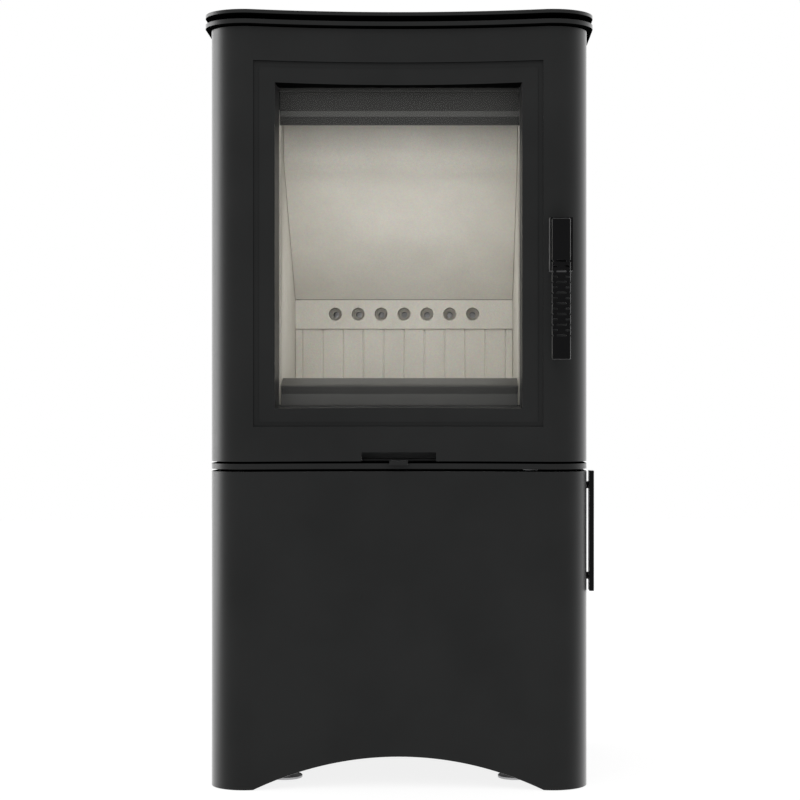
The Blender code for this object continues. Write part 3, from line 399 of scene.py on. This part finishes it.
def metal(name, colour, roughness, stretch, grain, depth, metallic=1.0):
    """Bare or plated steel with a drawn or cast grain."""
    mat, tree, shader = new_material(name)
    where = coordinates(tree, stretch)
    fine = noise(tree, where, grain, 4.0, 0.6)
    slow = noise(tree, coordinates(tree), 40.0, 3.0)
    dark = tuple(c * 0.86 for c in colour)
    tree.links.new(tint(tree, slow, dark, colour), shader.inputs["Base Color"])
    shader.inputs["Metallic"].default_value = metallic
    tree.links.new(ramp(tree, fine, roughness - 0.08, roughness + 0.08, 0.3, 0.7), shader.inputs["Roughness"])
    tree.links.new(bump(tree, fine, depth), shader.inputs["Normal"])
    return mat


def rope_braid():
    """Glass-fibre rope: dark grey, matt, with fine fibres across each strand."""
    mat, tree, shader = new_material("rope_braid")
    where = coordinates(tree)
    fibres = noise(tree, where, 2400.0, 2.0, 0.7)
    tree.links.new(tint(tree, fibres, (0.05, 0.05, 0.05), (0.15, 0.15, 0.145)), shader.inputs["Base Color"])
    shader.inputs["Roughness"].default_value = 0.95
    shader.inputs["Sheen Weight"].default_value = 0.25
    tree.links.new(bump(tree, fibres, 0.0003), shader.inputs["Normal"])
    return mat


def clear_glass():
    """Heat-resistant glass: almost no mirror head on, more towards grazing, a very slight warm tint."""
    mat, tree, shader = new_material("ceramic_glass")
    tree.nodes.remove(shader)
    through = node(tree, "ShaderNodeBsdfTransparent")
    through.inputs["Color"].default_value = (0.985, 0.98, 0.97, 1.0)
    gloss = node(tree, "ShaderNodeBsdfGlossy", Roughness=0.03)
    fresnel = node(tree, "ShaderNodeFresnel", IOR=1.16)
    mix = node(tree, "ShaderNodeMixShader")
    tree.links.new(fresnel.outputs[0], mix.inputs[0])
    tree.links.new(through.outputs[0], mix.inputs[1])
    tree.links.new(gloss.outputs[0], mix.inputs[2])
    tree.links.new(mix.outputs[0], tree.nodes["Material Output"].inputs["Surface"])
    return mat


paint = painted(
    "satin_paint", (0.0118, 0.0122, 0.0122), (0.0144, 0.0148, 0.0148), 0.42, 0.50, 1300.0, 0.00010, 0.10, 0.75, 3.2
)
# painted shade: a near-black copy of the body paint, laid on faces that sit in shadow (plate undersides, gaps, recess
# walls, the window's top reveal)
painted_shade = painted(
    "shadowed_paint", (0.0016, 0.0017, 0.0017), (0.0022, 0.0023, 0.0023), 0.60, 0.70, 1300.0, 0.00010, 0.0, 0.0
)
# painted shade: a darker copy of the body paint for the window's reveal walls, where shade falls
reveal_painted_shade = painted(
    "reveal_painted_shade", (0.0036, 0.0037, 0.0037), (0.0046, 0.0047, 0.0047), 0.50, 0.55, 1300.0, 0.00005, 0.02, 0.20, 1.6
)
# painted highlight: a lighter paint for the deflector's fold, standing in for the light it catches
fold_painted_highlight = painted(
    "fold_painted_highlight", (0.090, 0.092, 0.092), (0.100, 0.102, 0.102), 0.40, 0.50, 900.0, 0.00010, 0.40, 0.25
)
steel = painted(
    "guard_steel", (0.058, 0.060, 0.060), (0.068, 0.070, 0.070), 0.45, 0.55, 900.0, 0.00012, 0.30, 0.25
)
inner = painted(
    "inner_paint", (0.030, 0.031, 0.031), (0.036, 0.037, 0.037), 0.48, 0.58, 900.0, 0.00014, 0.30, 0.25
)
lever_paint = painted(
    "lever_paint", (0.0022, 0.0022, 0.0024), (0.0030, 0.0030, 0.0033), 0.34, 0.42, 1500.0, 0.00006, 0.06, 0.62, 2.6
)
board = vermiculite_board()
zinc = metal("zinc_plate", (0.46, 0.46, 0.47), 0.36, (1.0, 1.0, 0.12), 700.0, 0.00005)
iron = metal("cast_iron_grain", (0.035, 0.034, 0.033), 0.66, (1.0, 1.0, 1.0), 420.0, 0.00040, 0.3)
rope = rope_braid()
glass = clear_glass()

# ---------------------------------------------------------------- top plates, hearth plate
EDGE = 0.0009


def flat_plate(name, overhang):
    low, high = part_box(name)
    return prism(name + "_fine", full_outline(-overhang), low.z, high.z)


FLUE_Y = sum(local("flue_collar")[1]) / 2
HOLE_RADIUS = 0.085
OVERHANG = -local("top_plate")[0][0] - HALF_WIDTH
for name in ("top_plate", "under_plate"):
    plate = flat_plate(name, OVERHANG)
    cut(plate, rod("hole", HOLE_RADIUS, (0.0, FLUE_Y, 0.9), 0.3, steps=96))
    if name == "under_plate":
        for side in (-1, 1):
            slot_x = sorted((side * 0.150, side * 0.160))
            cut(plate, prism("slot", rounded_rectangle(slot_x, (-0.10, 0.12), 0.0045), 0.9, 1.2))
    dress(plate, paint, "stove_body", [name], EDGE, 3)
    # painted shade on the plate undersides and on the under plate's top, in the gap between the plates
    shade(plate, painted_shade, lambda normal, centre: normal.z < -0.9 or (normal.z > 0.9 and centre.z < 1.045))

hearth = flat_plate("hearth_plate", 0.0)
for slot_x in (-0.075, -0.025, 0.025, 0.075):
    cut(hearth, block("slot", (slot_x - 0.010, slot_x + 0.010), (-0.105, -0.080), (0.4, 0.5)))
cut(hearth, rod("inlet", 0.030, (0.0, 0.130, 0.4), 0.1))
dress(hearth, paint, "stove_body", ["hearth_plate"], EDGE, 3)
# painted shade on the hearth plate's top and underside faces, in the gap between the doors
shade(hearth, painted_shade, lambda normal, centre: abs(normal.z) > 0.9)


# ---------------------------------------------------------------- doors
def door_pan(name, node_name, floor=True):
    """The curved front, both corners, the side returns and the flanges of a door, from one sheet."""
    _, y, z = local(node_name)
    outer = prism(name, front_chain(0.0, y[1]), *z)
    inside = prism("inside", front_chain(SKIN, y[1] + SKIN), z[0] + (SKIN if floor else -SKIN), z[1] - SKIN)
    return cut(outer, inside)


RECESS_X, RECESS_Z = (-0.195, 0.195), (0.489, 0.982)
NOTCH_HALF, NOTCH_TOP = 0.0505, 0.4540
handle_x, handle_y, handle_z = local("door_handle")
HANDLE_X = sum(handle_x) / 2
SPINDLE_Z = sum(local("handle_spindle")[2]) / 2
fire_shell = door_pan("fire_door_skin", "door_shell")
cut(
    fire_shell,
    block("recess", RECESS_X, (-0.25, -0.17), RECESS_Z),
    block("notch", (-NOTCH_HALF, NOTCH_HALF), (-0.25, -0.17), (0.43, NOTCH_TOP)),
    rod("spindle_hole", 0.0063, (HANDLE_X, -0.25, SPINDLE_Z), 0.06, axis="Y"),
)
dress(fire_shell, paint, "fire_door", ["door_shell"], 0.0004, 1, 50)
# painted shade on the door sheet's top and bottom edges, the notch edges and the walls round the window recess
shade(
    fire_shell, painted_shade,
    lambda normal, centre: abs(normal.z) > 0.9
    or (abs(normal.y) < 0.4 and abs(centre.x - CX) < 0.196 and 0.488 < centre.z < 0.983),
)


def curved_panel(name, inset, thickness, x, z):
    """A panel that follows the concave front, seen from the front as a rectangle."""
    outline = front_chain(inset, -0.16)[1:-1] + front_chain(inset + thickness, -0.16)[1:-1][::-1]
    panel = prism(name, outline, z[0], z[1])
    return keep_inside(panel, block("limit", x, (-0.3, 0.0), (z[0] - 0.01, z[1] + 0.01)))


def tapered_opening():
    """The window's reveal: a rectangle at the front that narrows evenly towards the glass."""
    half_wide, low_wide, high_wide = 0.1673, 0.5127, 0.9538
    front_y, glass_y = -0.204, -0.168
    bm = bmesh.new()
    rings = []
    for y in (-0.24, -0.15):
        shrink = (y - front_y) * 0.003 / (glass_y - front_y)
        half, low, high = half_wide - shrink, low_wide + shrink, high_wide - shrink
        corners = ((-half, y, low), (half, y, low), (half, y, high), (-half, y, high))
        rings.append([bm.verts.new(p) for p in corners])
    bm.faces.new(rings[0])
    bm.faces.new(rings[1])
    for i in range(4):
        j = (i + 1) % 4
        bm.faces.new((rings[0][i], rings[0][j], rings[1][j], rings[1][i]))
    return mesh_object("opening", bm)


RECESS_DEPTH, PANEL_DEPTH = 0.0043, 0.0034
window = curved_panel("window_panel", PANEL_DEPTH, 0.0030, (-0.188, 0.188), (0.495, 0.974))
flange = curved_panel("flange", RECESS_DEPTH, 0.0022, (-0.199, 0.199), (RECESS_Z[0] - 0.005, RECESS_Z[1] + 0.005))
reveal = block("reveal", (-0.1703, 0.1703), (-0.25, -0.168), (0.5097, 0.9568))
keep_inside(reveal, prism("behind_front", front_chain(PANEL_DEPTH + 0.0005, -0.16), 0.4, 1.1))
join(window, flange, reveal)
cut(window, tapered_opening())
dress(window, paint, "fire_door", ["window_frame"], 0.0)


def in_opening(centre):
    return abs(centre.x - CX) < 0.1690 and 0.510 < centre.z < 0.956


# painted shade: the reveal walls get the darker paint and the downward-facing top reveal the near-black one
shade(window, reveal_painted_shade, lambda normal, centre: in_opening(centre) and abs(normal.y) < 0.3)
shade(window, painted_shade, lambda normal, centre: in_opening(centre) and normal.z < -0.7)

log_shell = door_pan("log_door_skin", "log_door_shell", floor=False)
ARCH_RADIUS, ARCH_TOP = 0.485, 0.0417
cut(log_shell, rod("arch", ARCH_RADIUS, (0.0, -0.26, ARCH_TOP - ARCH_RADIUS), 0.09, axis="Y", steps=320))
dress(log_shell, paint, "log_store_door", ["log_door_shell"], 0.0004, 1, 50)
# painted shade on the log door's upward-facing top edge, in the gap under the fire door
shade(log_shell, painted_shade, lambda normal, centre: normal.z > 0.9)

# ---------------------------------------------------------------- casings
for prefix in ("casing", "pedestal"):
    for part in ("side_left", "side_right", "back"):
        name = f"{prefix}_{part}"
        x, y, z = local(name)
        outline = rear_chain(0.0, -0.145) + rear_chain(CASING, -0.145)[::-1]
        sheet = prism(name + "_fine", outline, *z)
        keep_inside(sheet, block("limit", x, (-0.2, 0.3) if "side" in part else (0.0, 0.3), (0.0, 1.1)))
        if name == "casing_back":
            cut(sheet, rod("outlet", 0.076, (0.0, 0.18, 0.860), 0.06, axis="Y", steps=96))
            for first_z in (0.480, 0.965):
                for row in range(3):
                    for column in (-1.5, -0.5, 0.5, 1.5):
                        slot_z = first_z + row * 0.018
                        slot_x = (column * 0.088 - 0.034, column * 0.088 + 0.034)
                        shape = rounded_rectangle(slot_x, (slot_z, slot_z + 0.006), 0.0029, 6)
                        cut(sheet, prism("slot", shape, 0.2, 0.22, axis="Y"))
        if name == "pedestal_back":
            cut(sheet, rod("inlet", 0.0415, (0.0, 0.18, 0.385), 0.06, axis="Y", steps=96))
        dress(sheet, paint, "stove_body", [name], 0.0005, 2)

# ---------------------------------------------------------------- lining
lining_y = local("back_brick_lower")[1]
_, air_y, air_z = local("back_air_brick")


def groove(x, y, direction, z, axis):
    half, deep, clear = 0.002, 0.002, 0.001
    if axis == "x":
        tip = [(x - half, y + clear * direction), (x + half, y + clear * direction), (x, y - deep * direction)]
    else:
        tip = [(x + clear * direction, y - half), (x + clear * direction, y + half), (x - deep * direction, y)]
    return prism("groove", tip, z[0] - 0.01, z[1] + 0.01)


x, y, z = local("back_brick_lower")
lower = block("back_brick_fine", x, y, z)
for i in range(-5, 6):
    cut(lower, groove(i * 0.0307, y[0], -1, z, "x"))
dress(lower, board, "stove_body", ["back_brick_lower"], 0.0007, 2)

x, y, z = local("back_air_brick")
ledge = block("air_brick_fine", x, y, z)
JET_Z = 0.6545
for i in range(-3, 4):
    jet = [(0, 0), (0.0098, 0), (0.0098, 0.048), (0.0045, 0.048), (0.0045, 0.1), (0, 0.1)]
    cut(ledge, turned("jet", jet, (i * 0.0345, 0.10, JET_Z), axis="Y", steps=48))
dress(ledge, board, "stove_body", ["back_air_brick"], 0.0009, 2)

for name, side in (("side_brick_left", -1), ("side_brick_right", 1)):
    x, y, z = local(name)
    brick = block(name + "_fine", x, y, z)
    face = x[1] if side < 0 else x[0]
    for groove_y in (-0.047, 0.043):
        cut(brick, groove(face, groove_y, -side, z, "y"))
    dress(brick, board, "stove_body", [name], 0.0008, 2)


def folded(name, profile, thickness, half_width):
    """A sheet bent along X: the profile (y, z) is its outer face, the thickness goes to its left."""
    inside = []
    last = len(profile) - 1
    for i, point in enumerate(profile):
        here = Vector(point)
        before = (here - Vector(profile[i - 1])).normalized() if i > 0 else None
        after = (Vector(profile[i + 1]) - here).normalized() if i < last else None
        before, after = before or after, after or before
        normal = (Vector((-before.y, before.x)) + Vector((-after.y, after.x))).normalized()
        inside.append(tuple(here + normal * thickness / normal.dot(Vector((-before.y, before.x)))))
    return prism(name, list(profile) + inside[::-1], -half_width, half_width, axis="X")


slope = math.radians(40.5)
radius, lip_y, top_z = 0.050, -0.095, 0.920
start_y = lip_y + radius * (1 - math.sin(slope))
ledge_y, ledge_z = air_y[0] - GAP, air_z[1] + GAP
start_z = ledge_z + (ledge_y - start_y) * math.tan(slope)
centre = (lip_y + radius, start_z + radius * math.cos(slope))
bend = arc_points(centre, radius, -math.pi / 2 - slope, -math.pi, 20)
face = [(ledge_y, ledge_z)] + bend + [(lip_y, top_z)]
half = local("baffle_panel")[0][1]
baffle = folded("baffle_fine", face[::-1], 0.022, half)
keep_inside(baffle, block("limit", (-0.3, 0.3), (-0.2, lining_y[1]), (ledge_z, 1.0)))
dress(baffle, board, "stove_body", ["baffle_panel"], 0.0009, 2)

x, y, z = local("hearth_brick")
floor_brick = block("hearth_brick_fine", x, y, z)
cut(
    floor_brick,
    block("grate_seat", (-0.0985, 0.0985), (-0.0685, 0.0685), (z[1] - 0.010, 0.6)),
    block("ash_drop", (-0.090, 0.090), (-0.060, 0.060), (0.4, 0.6)),
)
dress(floor_brick, board, "stove_body", ["hearth_brick"], 0.0008, 2)

x, y, z = local("grate")
grate = block("grate_fine", x, y, z)
for i in range(-3, 4):
    slot = rounded_rectangle((i * 0.024 - 0.0055, i * 0.024 + 0.0055), (-0.052, 0.052), 0.0052)
    cut(grate, prism("slot", slot, 0.4, 0.6))
dress(grate, iron, "stove_body", ["grate"], 0.0012, 3)

# ---------------------------------------------------------------- air-wash deflector and log guard
FOLD_RADIUS, FOLD_SHEET = 0.0028, 0.0025
air_wash = [(-0.1100, 0.9595), (-0.1430, 0.9595), (-0.1430, 0.9226), (-0.1385, 0.9157), (-0.1400, 0.9040)]
reach_x = local("air_wash_deflector")[0][1] + 0.0013
deflector = folded("air_wash_fine", fillet(air_wash, FOLD_RADIUS), FOLD_SHEET, reach_x)
dress(deflector, inner, "stove_body", ["air_wash_deflector"], 0.0003, 1, 50)
# painted highlight: the fold faces that face down and forward get the lighter paint
shade(deflector, fold_painted_highlight, lambda normal, centre: normal.z < -0.25 and normal.y < -0.2)

guard_bottom = local("log_guard")[2][0]
guard = [(-0.1150, guard_bottom), (-0.1480, guard_bottom), (-0.1405, 0.5330), (-0.1425, 0.5443), (-0.1120, 0.5555)]
log_guard = folded("log_guard_fine", fillet(guard[::-1], FOLD_RADIUS), FOLD_SHEET, local("log_guard")[0][1])
dress(log_guard, steel, "stove_body", ["log_guard"], 0.0003, 1, 50)
# painted shade: the guard's upright front band gets the darker inner paint, the sloped flanges keep the lighter steel
shade(log_guard, inner, lambda normal, centre: normal.y < -0.5 and 0.534 < centre.z < 0.5435)

# ---------------------------------------------------------------- fire door handle
lever = prism("lever_fine", rounded_rectangle(handle_x, handle_z, 0.0022), *handle_y, axis="Y")
rounding = lever.modifiers.new("rounding", "BEVEL")
rounding.width, rounding.segments, rounding.angle_limit = 0.0020, 4, math.radians(60)
apply_modifiers(lever)
SLOT_TOP_Z, SLOT_PITCH, SLOT_HALF = 0.7095, 0.01415, 0.0013


def lever_slot(span_x, row):
    """One slot through the lever, with round ends; row counts down from the topmost slot."""
    slot_z = SLOT_TOP_Z - row * SLOT_PITCH
    shape = rounded_rectangle(span_x, (slot_z - SLOT_HALF, slot_z + SLOT_HALF), 0.0012, 6)
    cut(lever, prism("slot", shape, -0.26, -0.23, axis="Y"))


for row in range(8):
    lever_slot((HANDLE_X - 0.0068, HANDLE_X + 0.0068), row)
    for edge_x in handle_x:
        lever_slot((edge_x - 0.0015, edge_x + 0.0015), row)
for row in range(7):
    for side in (-1, 1):
        lever_slot(sorted((HANDLE_X + side * 0.0052, HANDLE_X + side * 0.0112)), row + 0.5)
dress(lever, lever_paint, "handle_lever", ["door_handle"], 0.0003, 1, 50)
keep("door_handle_bracket", lever_paint, 0.0006)

x, y, z = local("log_door_handle")
bar = block("log_handle_fine", (0.2590, x[1]), y, z)
for post_z in (z[0] + 0.020, z[1] - 0.020):
    join(bar, rod("post", 0.005, (x[0], -0.1563, post_z), 0.008, axis="X", steps=48))
dress(bar, lever_paint, "log_store_door", ["log_door_handle"], 0.0009, 3)

# ---------------------------------------------------------------- rope seal: four strands plaited round the frame
def braided_ring(name, x, z, radius, y, half_width, half_depth, turns):
    line = rounded_rectangle(x, z, radius, 12)
    points = []
    for i, here in enumerate(line):
        there = line[(i + 1) % len(line)]
        length = math.dist(here, there)
        steps = max(1, round(length / 0.0022))
        points += [
            (here[0] + (there[0] - here[0]) * k / steps, here[1] + (there[1] - here[1]) * k / steps)
            for k in range(steps)
        ]
    count, sides = len(points), 16
    bm = bmesh.new()
    rings = []
    for i, (px, pz) in enumerate(points):
        before, after = points[i - 1], points[(i + 1) % count]
        along = Vector((after[0] - before[0], 0.0, after[1] - before[1])).normalized()
        outward = Vector((along.z, 0.0, -along.x))
        ring = []
        for k in range(sides):
            turn = 2 * math.pi * k / sides
            phase = 2 * math.pi * turns * i / count
            weave = 0.90 + 0.10 * abs(math.sin(2 * turn + phase) * math.sin(2 * turn - phase))
            depth = Vector((0, math.sin(turn) * half_depth * weave, 0))
            offset = outward * math.cos(turn) * half_width * weave + depth
            ring.append(bm.verts.new(Vector((px, y, pz)) + offset))
        rings.append(ring)
    for i in range(count):
        here, there = rings[i], rings[(i + 1) % count]
        for k in range(sides):
            m = (k + 1) % sides
            bm.faces.new((here[k], here[m], there[m], there[k]))
    return mesh_object(name, bm)


x, y, z = local("door_rope_seal")
half_width = 0.0042
seal = braided_ring(
    "rope_seal_fine",
    (x[0] + half_width, x[1] - half_width),
    (z[0] + half_width, z[1] - half_width),
    0.015, sum(y) / 2, half_width, (y[1] - y[0]) / 2, 170,
)
dress(seal, rope, "fire_door", ["door_rope_seal"], 0.0)

# ---------------------------------------------------------------- flue collar, spigot, rear cover, feet
x, y, z = local("flue_collar")
collar_height = z[1] - z[0]
collar_profile = [
    (0.0710, 0.0), (0.0835, 0.0), (0.0835, 0.0036), (0.0831, 0.004), (0.0756, 0.004), (0.0750, 0.0046),
    (0.0750, collar_height - 0.0008), (0.0742, collar_height), (0.0718, collar_height),
    (0.0710, collar_height - 0.0008),
]
collar = turned("flue_collar_fine", collar_profile, (0.0, FLUE_Y, z[0]), steps=128)
dress(collar, iron, "stove_body", ["flue_collar"], 0.0)

x, y, z = local("outside_air_spigot")
length = y[1] - y[0]
flange = 0.210 + GAP - y[0]
spigot_profile = [
    (0.0380, 0.0), (0.0400, 0.0), (0.0400, flange), (0.0500, flange), (0.0500, flange + 0.002),
    (0.0405, flange + 0.002), (0.0400, flange + 0.0025), (0.0400, length - 0.0006), (0.0396, length),
    (0.0384, length), (0.0380, length - 0.0006),
]
spigot = turned("air_spigot_fine", spigot_profile, (0.0, y[0], sum(z) / 2), axis="Y", steps=96)
dress(spigot, zinc, "stove_body", ["outside_air_spigot"], 0.0)

x, y, z = local("rear_flue_cover")
cover_profile = [
    (0, 0), (0.088, 0), (0.088, 0.0012), (0.0872, 0.002), (0.079, 0.002), (0.0778, 0.0024),
    (0.0752, 0.0036), (0.074, 0.004), (0, 0.004),
]
cover = turned("rear_cover_fine", cover_profile, (0.0, y[0], sum(z) / 2), axis="Y", steps=96)
dress(cover, paint, "stove_body", ["rear_flue_cover"], 0.0)

for number in range(1, 5):
    name = f"levelling_foot_{number}"
    x, y, z = local(name)
    disc = [(0, 0), (0.0234, 0), (0.024, 0.0006), (0.024, 0.0030), (0.0232, 0.0038)]
    profile = disc + [(0.0060, 0.0078), (0.005, 0.0090)]
    thread_low, thread_high, pitch = 0.0095, z[1] - 0.001, 0.0015
    count = int((thread_high - thread_low) / pitch)
    for i in range(count):
        base = thread_low + i * pitch
        profile += [(0.0044, base), (0.0050, base + pitch / 2)]
    profile += [(0.0044, thread_high), (0.0040, z[1]), (0, z[1])]
    foot = turned(name + "_fine", profile, (sum(x) / 2, sum(y) / 2, 0.0), steps=48)
    dress(foot, zinc, "stove_body", [name], 0.0)
    hexagon = arc_points((sum(x) / 2, sum(y) / 2), 0.0095, 0.0, 2 * math.pi, 6)[:-1]
    nut = prism(f"foot_nut_{number}", hexagon, 0.0435, 0.0515)
    cut(nut, rod("bore", 0.0051, (sum(x) / 2, sum(y) / 2, 0.04), 0.02, steps=32))
    dress(nut, zinc, "stove_body", [], 0.0005)

# ---------------------------------------------------------------- the CAD nodes that stay
for names, mat, width in (
    # painted shade: the spacer and frames in the gaps between and under the plates take the near-black paint
    (("plate_spacer", "top_support_frame", "base_frame"), painted_shade, 0.0004),
    (("firebox_shell", "firebox_front_plate"), inner, 0.0004),
    (("door_inner_frame", "glass_retainer", "log_door_inner_frame", "log_store_liner"), inner, 0.0004),
    (("pedestal_floor", "hinge_bracket_lower", "hinge_bracket_upper"), inner, 0.0004),
    (("log_hinge_bracket_lower", "log_hinge_bracket_upper", "outside_air_box"), inner, 0.0004),
    (("ash_pan", "rear_heat_shield", "handle_spindle", "latch_cam", "latch_keeper", "log_door_magnet"), zinc, 0.0003),
    (("hinge_pin_lower", "hinge_pin_upper", "log_hinge_pin_lower", "log_hinge_pin_upper"), zinc, 0.0002),
    (("air_slider",), paint, 0.0004),
    (("glass_gasket",), rope, 0.0003),
    (("door_glass",), glass, 0.0005),
):
    for name in names:
        keep(name, mat, width)

# ---------------------------------------------------------------- stage, light, camera
def plain_material(name, colour, glow):
    mat, _, shader = new_material(name)
    shader.inputs["Base Color"].default_value = (*colour, 1.0)
    shader.inputs["Roughness"].default_value = 0.9
    shader.inputs["Specular IOR Level"].default_value = 0.0
    shader.inputs["Emission Color"].default_value = (1.0, 1.0, 1.0, 1.0)
    shader.inputs["Emission Strength"].default_value = glow
    return mat


floor = turned("floor", [(0, -0.02), (6.0, -0.02), (6.0, 0.0), (0, 0.0)], (0, 0, 0), steps=128)
floor.data.materials.append(plain_material("pale_floor", (0.20, 0.20, 0.20), 0.85))

scene = bpy.context.scene
scene.view_settings.view_transform = "Standard"
world = bpy.data.worlds.new("studio")
scene.world = world
world.use_nodes = True
world.node_tree.nodes["Background"].inputs["Color"].default_value = (1.0, 1.0, 1.0, 1.0)
world.node_tree.nodes["Background"].inputs["Strength"].default_value = 1.0


def softbox(name, place, target, size, power):
    lamp = bpy.data.lights.new(name, "AREA")
    lamp.shape = "RECTANGLE"
    lamp.size, lamp.size_y = size
    lamp.energy = power
    made = bpy.data.objects.new(name, lamp)
    bpy.context.collection.objects.link(made)
    made.location = place
    made.rotation_euler = (Vector(target) - Vector(place)).to_track_quat("-Z", "Y").to_euler()
    made.visible_camera = False
    return made


softbox("left_softbox", (-2.4, 0.15, 0.8), (0.0, 0.0, 0.6), (1.2, 2.4), 29.0)
softbox("high_key", (-0.4, -2.4, 3.0), (0.0, 0.0, 0.7), (1.0, 1.0), 9.0)
softbox("firebox_fill", (0.0, -0.118, 0.66), (0.0, 0.2, 0.64), (0.28, 0.26), 0.19)

lens_data = bpy.data.cameras.new("camera")
lens_data.sensor_width = 36.0
lens_data.lens = 90.0
lens_data.shift_x = -0.0630
lens_data.clip_start = 0.05
camera = bpy.data.objects.new("camera", lens_data)
bpy.context.collection.objects.link(camera)
camera.location = (CX + 0.070, CY - 2.896, 0.525)
camera.rotation_euler = (math.pi / 2, 0.0, 0.0)
scene.camera = camera
